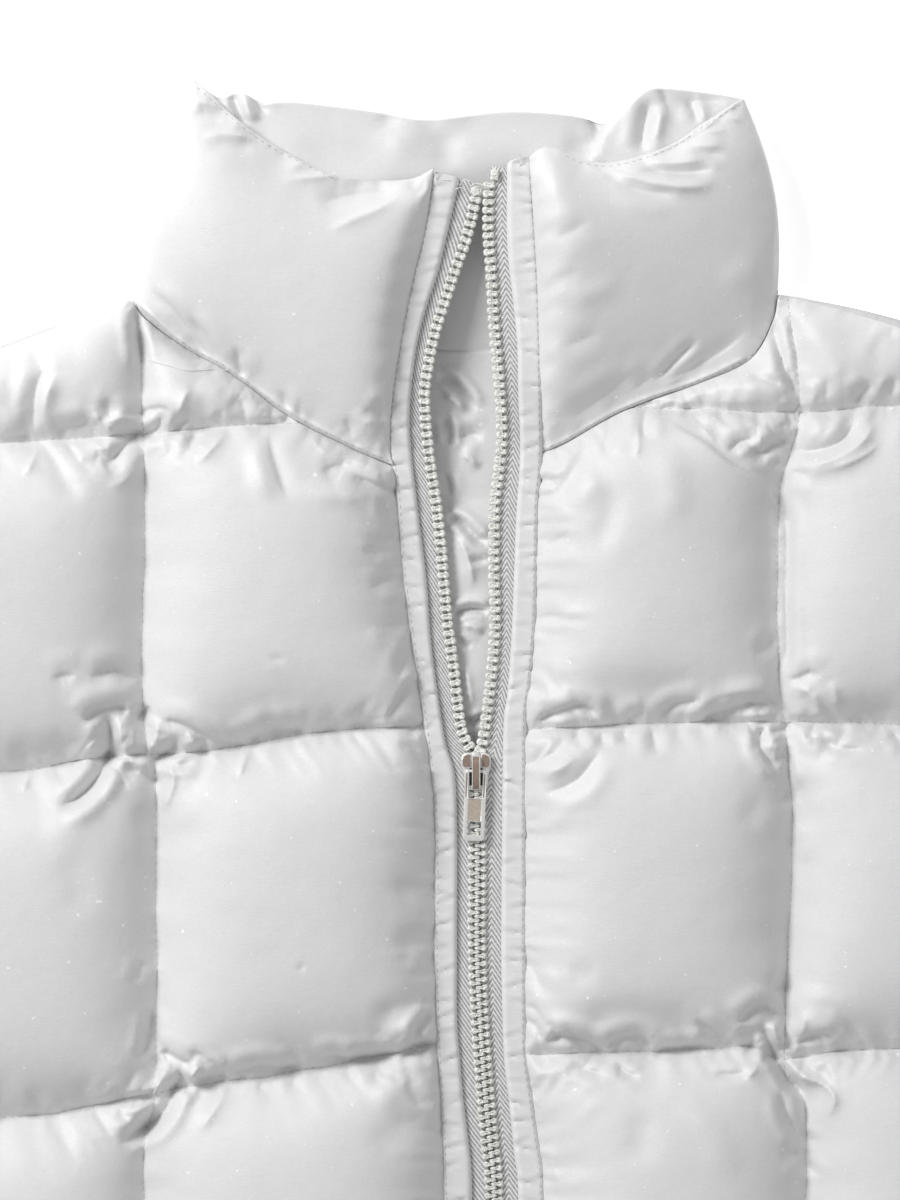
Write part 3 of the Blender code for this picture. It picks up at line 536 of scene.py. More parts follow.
def tape_finish(name, turn, lean):
    """Grey twill tape: leaning ribs that turn back on themselves after so many millimetres."""
    tape = Finish(name, (0.5, 0.5, 0.51), 0.7, {"Sheen Weight": 0.15})
    across = tape.add("ShaderNodeSeparateXYZ", {0: tape.place.outputs["UV"]})
    turned = tape.add("ShaderNodeMath", {0: across.outputs["X"], 1: turn * MM},
                      operation="PINGPONG")
    slant = tape.add("ShaderNodeMath", {0: turned.outputs[0], 1: lean, 2: across.outputs["Y"]},
                     operation="MULTIPLY_ADD")
    rib = tape.add("ShaderNodeMath", {0: slant.outputs[0], 1: 2.0 * math.pi / (TAPE_RIB * MM)},
                   operation="MULTIPLY")
    wave = tape.add("ShaderNodeMath", {0: rib.outputs[0]}, operation="SINE")
    level = tape.add("ShaderNodeMath", {0: wave.outputs[0], 1: 0.5, 2: 0.5},
                     operation="MULTIPLY_ADD")
    yarn = tape.speckle(0.5, detail=2.0, rough=0.7)
    mixed = tape.sum((level.outputs[0], 0.4), (yarn, 0.6))
    tape.colour(tape.ramp(mixed, 0.3, 0.62, (0.32, 0.32, 0.32), (0.82, 0.82, 0.82)))
    tape.relief(mixed, 0.4)
    return tape.material


def tooth_finish():
    """Moulded cream plastic with a soft shine."""
    plastic = Finish("moulded_teeth", (0.8, 0.79, 0.75), 0.3)
    spots = plastic.speckle(0.7, detail=2.0)
    plastic.colour(plastic.ramp(spots, 0.36, 0.58, (0.6, 0.59, 0.54), (0.95, 0.95, 0.92)))
    plastic.relief(spots, 0.5)
    return plastic.material


def metal_finish(name, colour, roughness, metallic):
    """Plated zip metal with fine casting marks."""
    metal = Finish(name, colour, roughness, {"Metallic": metallic})
    marks = metal.speckle(0.35, detail=3.0, rough=0.6)
    low = tuple(c * 0.8 for c in colour)
    high = tuple(min(1.0, c * 1.15) for c in colour)
    metal.colour(metal.ramp(marks, 0.35, 0.65, low, high))
    metal.relief(marks, 0.06)
    return metal.material


def thread_finish(name, low, high):
    """Twisted thread between two tones of grey."""
    thread = Finish(name, (high, high, high), 0.6, {"Sheen Weight": 0.3})
    twist = thread.speckle(0.4, detail=1.0)
    thread.colour(thread.ramp(twist, 0.35, 0.65, (low, low, low), (high, high, high)))
    thread.relief(twist, 0.08)
    return thread.material


# ---------------------------------------------------------------- skins, creases and gathers

SIM_SCALE = 10.0  # the cloth is simulated at ten times its size
SIM_FRAMES = 14
CLOTH = {"quality": 5, "mass": 0.02, "tension_stiffness": 15.0, "compression_stiffness": 15.0,
         "shear_stiffness": 9.0, "bending_stiffness": 0.3, "tension_damping": 5.0,
         "compression_damping": 5.0, "shear_damping": 5.0, "bending_damping": 0.5,
         "air_damping": 1.0, "use_pressure": True, "vertex_group_mass": "sewn",
         "pin_stiffness": 1.0}
FINE_PITCH = 3.0  # spacing of a quilted face's points inside the picture
PLAIN_PITCH = 5.7  # and outside it
FLAT_PITCH = 8.5  # in a layer that lies flat under the rest
SEAM_PITCH = 3.0  # of the points along a seam
PICTURE_BOX = (-175.0, 168.0, -54.0, 400.0)
ZIP_GAP_BOX = (-24.0, 28.0, 96.0, 330.0)  # where the lining shows
NEAR_PITCH = 0.6  # between the points that stand for a crease when distances are measured
FOLD_EDGE = 0.7  # half the width of the steep face of a folded crease
SEAM_FINE = 4.5  # a closer mesh reaches this far from each seam in the picture
GATHER_REACH = 7.0
GATHERS = ((2.2, 0.6, 2.2), (8.5, 1.0, GATHER_REACH))  # spacing, height and reach of gathers
SOFT_CREASE = 6.5  # creases wider than this are rounded, narrower ones are sharp
CLOSE_CREASE = 8.0  # creases narrower than this get a closer mesh
UPRIGHT_CALM = 0.15  # gathers along the columns are this much lower
CREASE_GAIN = 1.3  # how much deeper narrow creases are than their rows say
TROUGH_BANK = 0.45  # the banks beside a trough, as a share of its depth
SEAM_SHARP = 0.22  # how far subdivision keeps a seam's valley sharp
CREST_ROUND = 0.35  # rounding of the line of a narrow crease
CREASE_FLOOR = 2.4  # a crease stays this far above a piece's underside


def in_picture(points, box=PICTURE_BOX):
    """Which points lie in the box that the picture shows."""
    pts = np.array(points, float)
    x0, x1, y0, y1 = box
    return (pts[:, 0] > x0) & (pts[:, 0] < x1) & (pts[:, 1] > y0) & (pts[:, 1] < y1)


def in_zip_gap(points):
    """Which points lie where the lining shows in the open zip."""
    return in_picture(points, ZIP_GAP_BOX)


def ripple(x, y, seed):
    """Smooth uneven value between about -1 and 1."""
    return noise.noise(Vector((x, y, seed)))


def scattered(outline, lines, within, plain_pitch):
    """Points inside an outline: close together where it shows most, wider apart elsewhere."""
    fine = inside_points(outline, lines, FINE_PITCH)
    fine = [p for p, ok in zip(fine, within(fine)) if ok]
    plain = inside_points(outline, lines, plain_pitch)
    plain = [p for p, inside in zip(plain, within(plain)) if not inside]
    return fine + plain


def quilt_skin(outline, lines, within=in_picture, plain_pitch=PLAIN_PITCH):
    """A flat skin of triangles with edges along its outline and its seams."""
    points = [Vector(p) for p in outline]
    edges = [(k, (k + 1) % len(outline)) for k in range(len(outline))]
    for line in lines:
        first = len(points)
        points += [Vector(p) for p in line]
        edges += [(first + k, first + k + 1) for k in range(len(line) - 1)]
    points += [Vector(p) for p in scattered(outline, lines, within, plain_pitch)]
    around = list(range(len(outline)))
    verts, _, faces, *_ = delaunay_2d_cdt(points, edges, [around], 1, 0.5)
    bm = bmesh.new()
    made = [bm.verts.new((v.x, v.y, 0.0)) for v in verts]
    for face in faces:
        bm.faces.new([made[k] for k in face])
    bmesh.ops.delete(bm, geom=[v for v in made if not v.link_faces], context="VERTS")
    bm.verts.index_update()
    return bm


def inflate(bm, pinned, stretch, pressure):
    """Blow a sewn skin up: the cloth is cut larger than its seams, which hold still."""
    mesh = bpy.data.meshes.new("sewn skin")
    bm.to_mesh(mesh)
    mesh.transform(Matrix.Scale(MM * SIM_SCALE, 4))
    skin_object = linked("sewn skin", mesh)
    scene = bpy.context.scene
    group = skin_object.vertex_groups.new(name="sewn")
    group.add(pinned, 1.0, "REPLACE")
    cloth = skin_object.modifiers.new("filling", "CLOTH")
    settings = cloth.settings
    for key, value in CLOTH.items():
        setattr(settings, key, value)
    settings.uniform_pressure_force = pressure
    settings.shrink_min = -stretch
    settings.effector_weights.gravity = 0.0
    cloth.collision_settings.use_collision = False
    scene.frame_start = 1
    scene.frame_end = SIM_FRAMES
    cloth.point_cache.frame_start = 1
    cloth.point_cache.frame_end = SIM_FRAMES
    for step in range(1, SIM_FRAMES + 1):
        scene.frame_set(step)
    shaped = skin_object.evaluated_get(bpy.context.evaluated_depsgraph_get())
    places = np.zeros(len(bm.verts) * 3)
    shaped.data.vertices.foreach_get("co", places)
    places = places.reshape(-1, 3) / (MM * SIM_SCALE)
    bpy.data.objects.remove(skin_object)
    bpy.data.meshes.remove(mesh)
    scene.frame_set(1)
    for vert, place in zip(bm.verts, places):
        vert.co = place


def refined(bm, seam_verts=()):
    """Subdivide smoothly, keeping the seams as sharp valleys, and give back a new bmesh."""
    layer = bm.edges.layers.float.get("crease_edge") or bm.edges.layers.float.new("crease_edge")
    sewn = set(seam_verts)
    for edge in bm.edges:
        if edge.verts[0].index in sewn and edge.verts[1].index in sewn:
            edge[layer] = SEAM_SHARP
    mesh = mesh_from(bm, "coarse")
    coarse = linked("coarse", mesh)
    smooth = coarse.modifiers.new("smooth", "SUBSURF")
    smooth.levels = 1
    smooth.render_levels = 1
    smooth.use_limit_surface = False
    done = settled(coarse)
    bpy.data.meshes.remove(mesh)
    fine = bmesh.new()
    fine.from_mesh(done)
    bpy.data.meshes.remove(done)
    return fine


def close_below(bm, base, rests):
    """Wall round the edge of a skin and a plain underside."""
    border = [e for e in bm.edges if e.is_boundary]
    wall = bmesh.ops.extrude_edge_only(bm, edges=border)
    for vert in [g for g in wall["geom"] if isinstance(g, bmesh.types.BMVert)]:
        vert.co.z = base + (EDGE_LIFT if rests else 0.0)
    rim = [e for e in bm.edges if e.is_boundary]
    floor = bmesh.ops.contextual_create(bm, geom=rim)["faces"]
    if rests:
        bmesh.ops.inset_region(bm, faces=floor, thickness=EDGE_INSET, use_even_offset=True)
        for vert in floor[0].verts:
            vert.co.z = base
    bmesh.ops.triangulate(bm, faces=[f for f in bm.faces if len(f.verts) > 4])
    bmesh.ops.recalc_face_normals(bm, faces=bm.faces)


def near_line(places, line):
    """For each place: distance to a line, share of the way along it, and which side."""
    dense = finely(line, NEAR_PITCH)
    tree = search_tree(dense)
    nearest = np.array([tree.find((p[0], p[1], 0.0))[1] for p in places], int)
    points = np.array(dense)
    course = np.gradient(points, axis=0)
    course /= np.maximum(np.linalg.norm(course, axis=1), 1e-9)[:, None]
    away = np.array(places, float)[:, :2] - points[nearest]
    ahead = np.abs(np.sum(away * course[nearest], axis=1))
    aside = course[nearest][:, 0] * away[:, 1] - course[nearest][:, 1] * away[:, 0]
    gap = np.hypot(aside, np.maximum(ahead - NEAR_PITCH, 0.0))
    return gap, nearest / (len(dense) - 1), np.sign(aside)


def from_picture(table):
    """A table of creases with its points turned from picture pixels into millimetres."""
    return [(*row[:4], seen_all(zip(row[4][::2], row[4][1::2]))) for row in table]


def close_to(places, line, reach):
    """Which places lie in the box round a line."""
    ends = np.array(line, float)
    flat = places[:, :2]
    return np.nonzero(np.all((flat > ends.min(0) - reach) & (flat < ends.max(0) + reach), axis=1))[0]


def crease_lift(places, table):
    """How far the rows of a table of creases lift each place."""
    lift = np.zeros(len(places))
    for rise, step, width, fade, points in table:
        line = rounded(points, 2.5)
        near = close_to(places, line, 2.0 * width)
        if not len(near):
            continue
        gap, share, side = near_line(places[near], line)
        ends = np.clip(np.minimum(share, 1.0 - share) / fade, 0.0, 1.0)
        ends = ends * ends * (3.0 - 2.0 * ends)
        if width > SOFT_CREASE:
            ridge = rise * np.exp(-(gap / (0.5 * width)) ** 2)
        else:
            sharp = np.hypot(gap, CREST_ROUND) - CREST_ROUND
            ridge = rise * np.exp(-sharp / (0.38 * width))
            if rise < 0.0:
                ridge -= TROUGH_BANK * rise * np.exp(-((gap - width) / (0.55 * width)) ** 2)
        aside = side * gap
        fold = 0.5 * step * aside / np.sqrt(aside ** 2 + FOLD_EDGE ** 2)
        fold *= np.exp(-(gap / width) ** 2)
        gain = CREASE_GAIN if width < SOFT_CREASE else 1.0
        lift[near] += gain * (ridge + fold) * ends
    return lift


def gather_lift(places, seams, seed):
    """Short uneven gathers that run out from both sides of each sewn line."""
    lift = np.zeros(len(places))
    dice = np.random.default_rng(int(seed))
    for line in seams:
        near = close_to(places, line, 3.0 * GATHER_REACH)
        if not len(near):
            continue
        gap, share, side = near_line(places[near], line)
        long = float(np.sum(np.linalg.norm(np.diff(np.array(line, float), axis=0), axis=1)))
        upright = abs(line[-1][1] - line[0][1]) > abs(line[-1][0] - line[0][0])
        calm = UPRIGHT_CALM if upright else 1.0
        for spacing, height, reach in GATHERS:
            stops = np.arange(0.0, long + 2.0 * spacing, spacing)
            for way in (-1.0, 1.0):
                wave = np.interp(share * long, stops, dice.uniform(-1.0, 1.0, len(stops)))
                runs = np.interp(share * long, stops, dice.uniform(0.4, 1.3, len(stops))) * reach
                here = side * way > 0.0
                rise = calm * height * wave * np.exp(-gap / runs) * (1.0 - np.exp(-gap / 0.7))
                lift[near[here]] += rise[here]
    return lift


def knot(x, y, seed):
    """Creases round a place where a row crosses a column, for where the picture shows none."""
    dice = np.random.default_rng(int(seed * 7 + abs(x) * 3 + abs(y)))
    flip = 1.0 if dice.uniform() > 0.5 else -1.0
    grow = dice.uniform(0.8, 1.3)
    rows = ((-3.4, 0.0, 5.4, 0.25, [(-13, 13), (-8, 10), (-6, 3), (-9, -7), (-18, -15)]),
            (2.2, 0.0, 5.5, 0.35, [(3, 13), (5, 5), (0, -3)]),
            (-2.4, 1.2, 4.2, 0.3, [(1, -8), (6, -8), (11, -3), (12, 2)]),
            (-1.2, 2.4, 5.0, 0.2, [(6, 9), (14, 5), (27, 2), (44, 3)]),
            (-1.2, 2.0, 5.0, 0.2, [(-46, 4), (-34, 3), (-24, 5), (-16, 4)]),
            (1.6, 0.0, 6.0, 0.4, [(12, -4), (7, -14), (1, -24)]),
            (-1.3, 0.0, 7.0, 0.4, [(-26, -6), (-22, -16), (-14, -26)]),
            (1.4, 0.0, 6.0, 0.4, [(20, 16), (16, 8), (15, 3)]))
    return [(rise, step * flip, width, fade,
             [(x + flip * grow * u + dice.uniform(-1, 1), y + grow * v + dice.uniform(-1, 1))
              for u, v in points]) for rise, step, width, fade, points in rows]


def crossings(rows, columns):
    """Where rows of stitching cross columns."""
    found = []
    for row in rows:
        for column in columns:
            gaps = distance(row, [column])
            best = int(np.argmin(gaps))
            if gaps[best] < 3.0:
                found.append(row[best])
    return found


def closer_mesh(bm, table, seams):
    """Split the edges of a skin once more where narrow creases and gathers need it."""
    places = np.array([v.co for v in bm.verts])
    fine = in_picture(places) & (distance(places[:, :2], seams) < SEAM_FINE)
    for _, _, width, _, points in table:
        if width > CLOSE_CREASE:
            continue
        near = close_to(places, points, width)
        if len(near):
            gap, _, _ = near_line(places[near], points)
            fine[near[gap < 0.5 * width + 1.2]] = True
    bm.verts.index_update()
    edges = [e for e in bm.edges if fine[e.verts[0].index] and fine[e.verts[1].index]]
    bmesh.ops.subdivide_edges(bm, edges=edges, cuts=1, use_grid_fill=True)
    bmesh.ops.triangulate(bm, faces=[f for f in bm.faces if len(f.verts) > 4])
    return np.array([v.co for v in bm.verts])


def crimp(bm, table, seams, base, seed):
    """Put creases and gathers into a skin that faces up."""
    places = closer_mesh(bm, table, seams)
    lift = crease_lift(places, table) + gather_lift(places, seams, seed)
    for vert, rise in zip(bm.verts, lift):
        vert.co.z = max(vert.co.z + rise, base + CREASE_FLOOR)


# ---------------------------------------------------------------- quilted fronts and sleeves

CLOTH_SPARE = 0.042  # how much larger the cloth is cut than the space between its seams
FILL_PRESSURE = 34.0
START_DOME = 12.0  # height of a box before the filling is blown in
DOME_REACH = 50.0  # from a seam to the top of that dome
SEWN_REACH = 0.4  # points this near to a seam are held by it
CALM_PASSES = 4  # of smoothing beside the columns
PUFF_HEIGHT = 28.0  # of a whole box above its seams
PUFF_POWER = 1.4  # the higher, the flatter the top and the steeper the sides
PUFF_SPARE = 0.72  # share of that height that is left when the cloth pulls on it
INNER_LIFT = 3.5  # seams inside a piece lie this much higher than its edges
INNER_REACH = 14.0  # and get there this far in
SEAM_SWAY = 0.7  # sideways waver of a sewn line
SEAM_HEAVE = 1.3  # and its rise and fall, from the gathers that it holds


def waver(line, seed):
    """A sewn line seen from above, pulled slightly off its course by the gathers."""
    out = []
    for k, (x, y) in enumerate(line):
        calm = min(1.0, k / 4.0, (len(line) - 1 - k) / 4.0)
        out.append((x + calm * SEAM_SWAY * ripple(x / 13.0, y / 13.0, seed),
                    y + calm * SEAM_SWAY * ripple(x / 13.0, y / 13.0, seed + 7.0)))
    return out


def sewn_height(x, y):
    """Height of a seam, which the gathers lift and drop a little."""
    heave = ripple(x / 9.0, y / 9.0, 2.0) + 0.6 * ripple(x / 4.5, y / 4.5, 5.0)
    return FRONT_BASE + SEAM_WALL + SEAM_HEAVE * heave


def plumped(height, low):
    """A height of a puff, made fuller at the sides and flatter on top."""
    if height < low:
        return height
    share = min(1.0, (height - low) / PUFF_HEIGHT)
    return low + PUFF_HEIGHT * PUFF_SPARE * (1.0 - (1.0 - share) ** PUFF_POWER)


def quilted(name, node, outline, rows, columns, seed, creases=(), rests=False):
    """A down-filled piece: its skin is blown up between the seams, then closed below."""
    rows = [waver(line, seed + 1.0 + k) for k, line in enumerate(rows)]
    columns = [waver(line, seed + 11.0 + k) for k, line in enumerate(columns)]
    bm = quilt_skin(outline, rows + columns)
    places = [(v.co.x, v.co.y) for v in bm.verts]
    to_edge = distance(places, [list(outline) + [outline[0]]])
    to_seam = distance(places, rows + columns)
    sewn = []
    for vert, edge, seam in zip(bm.verts, to_edge, to_seam):
        x, y = vert.co.x, vert.co.y
        near = min(edge, seam)
        dome_height = START_DOME * (1.0 + 0.25 * ripple(x / 60.0, y / 60.0, seed))
        vert.co.z = (sewn_height(x, y) + INNER_LIFT * ease(edge / INNER_REACH)
                     + dome_height * dome(near / DOME_REACH))
        if near < SEWN_REACH:
            sewn.append(vert.index)
    inflate(bm, sewn, CLOTH_SPARE, FILL_PRESSURE)
    held = set(sewn)
    beside = distance(places, columns) < distance(places, rows)
    calm = [v for v, near in zip(bm.verts, beside) if near and v.index not in held]
    for _ in range(CALM_PASSES):
        bmesh.ops.smooth_vert(bm, verts=calm, factor=0.5, use_axis_x=True, use_axis_y=True,
                              use_axis_z=True)
    for vert in bm.verts:
        if vert.index not in held:
            vert.co.z = plumped(vert.co.z, FRONT_BASE + SEAM_WALL + INNER_LIFT)
    bm = refined(bm, sewn)
    knots = [spot for spot in crossings(rows, columns) if not in_picture([spot])[0]]
    table = from_picture(creases)
    for x, y in knots:
        table += knot(x, y, seed)
    crimp(bm, table, rows + columns + [list(outline)], FRONT_BASE, seed)
    close_below(bm, FRONT_BASE, rests)
    obj = show(bm, name, SHELL, node)
    return obj, rows + columns


def armhole(side, shoulder):
    """The seam from the shoulder's end down to the armpit."""
    return rounded([shoulder[-1]] + [(side * x, y) for x, y in ARMHOLE_DROP], SEAM_PITCH)


def side_and_hem(side):
    """From the armpit down the side seam to the end of the hem seam."""
    return rounded([(side * ARMPIT[0], ARMPIT[1]), (side * SIDE_HEM_X, HEM_SEAM_Y)], SEAM_PITCH)


def lower_rows(side):
    """The rows of stitching below the picture, which drop a little to the side."""
    return [rounded([(0.0, y), (side * 290.0, y - 4.0)], SEAM_PITCH) for y in LOWER_ROWS]


def front(name, node, side, neck, shoulder, rows, columns, creases, seed):
    """One front, from its band's stitch line to the side seam."""
    course = STITCH_COURSE[side]
    centre = [(course(y), y) for y in np.arange(HEM_SEAM_Y, neck[0][1] - 2.0, SEAM_PITCH)]
    throat = rounded(neck, SEAM_PITCH)
    throat[0] = (course(neck[0][1]), neck[0][1])
    line = rounded(shoulder, SEAM_PITCH)
    ring = centre + throat[:-1] + line + armhole(side, shoulder)[1:] + side_and_hem(side)[1:]
    hem = rounded([ring[-1], ring[0]], SEAM_PITCH)[1:-1]
    rows = [rounded(r, SEAM_PITCH) for r in rows] + lower_rows(side)
    columns = [rounded(c, SEAM_PITCH) for c in columns]
    return quilted(name, node, ring + hem, rows, columns, seed, creases)


SLEEVE_DOWN = np.array([math.sin(SLEEVE_TILT), -math.cos(SLEEVE_TILT)])
SLEEVE_IN = np.array([-math.cos(SLEEVE_TILT), -math.sin(SLEEVE_TILT)])
SLEEVE_BEND = np.array([300.0, 160.0])  # where the sleeve's outer edge leaves the shoulder
SLEEVE_RUN = 455.0
SLEEVE_OUTER_END = SLEEVE_BEND + SLEEVE_DOWN * SLEEVE_RUN
SLEEVE_INNER_END = SLEEVE_OUTER_END + SLEEVE_IN * SLEEVE_END_WIDE


def sleeve(name, node, side, shoulder, seed):
    """A quilted sleeve, a flattened tube from the armhole to the cuff."""
    tip_x, tip_y = abs(shoulder[-1][0]), shoulder[-1][1]
    outer = rounded([(tip_x + GAP, tip_y), (263.0, 220.0), (285.0, 192.0), tuple(SLEEVE_BEND),
                     tuple(SLEEVE_BEND + SLEEVE_DOWN * 160.0), tuple(SLEEVE_OUTER_END)],
                    SEAM_PITCH)
    inner = rounded([tuple(SLEEVE_INNER_END), (343.0, -150.0), (ARMPIT[0] + GAP, ARMPIT[1])],
                    SEAM_PITCH)
    end = rounded([tuple(SLEEVE_OUTER_END), tuple(SLEEVE_INNER_END)], SEAM_PITCH)
    head = mirrored(armhole(-1, mirrored(shoulder) if side > 0 else shoulder))
    ring = outer + end[1:] + inner[1:] + head[::-1][1:-1]
    rows = []
    for k in range(1, 5):
        across = SLEEVE_OUTER_END - SLEEVE_DOWN * (BOX_TALL * k - 14.0)
        rows.append(rounded([tuple(across - SLEEVE_IN * 30.0), tuple(across + SLEEVE_IN * 230.0)],
                            SEAM_PITCH))
    middle = (SLEEVE_OUTER_END + SLEEVE_INNER_END) / 2
    columns = [rounded([tuple(middle + SLEEVE_DOWN * 20.0), (330.0, 0.0), (236.0, 176.0)],
                       SEAM_PITCH)]
    if side < 0:
        ring = mirrored(ring)
        rows, columns = [mirrored(r) for r in rows], [mirrored(c) for c in columns]
    return quilted(name, node, ring, rows, columns, seed, rests=True)
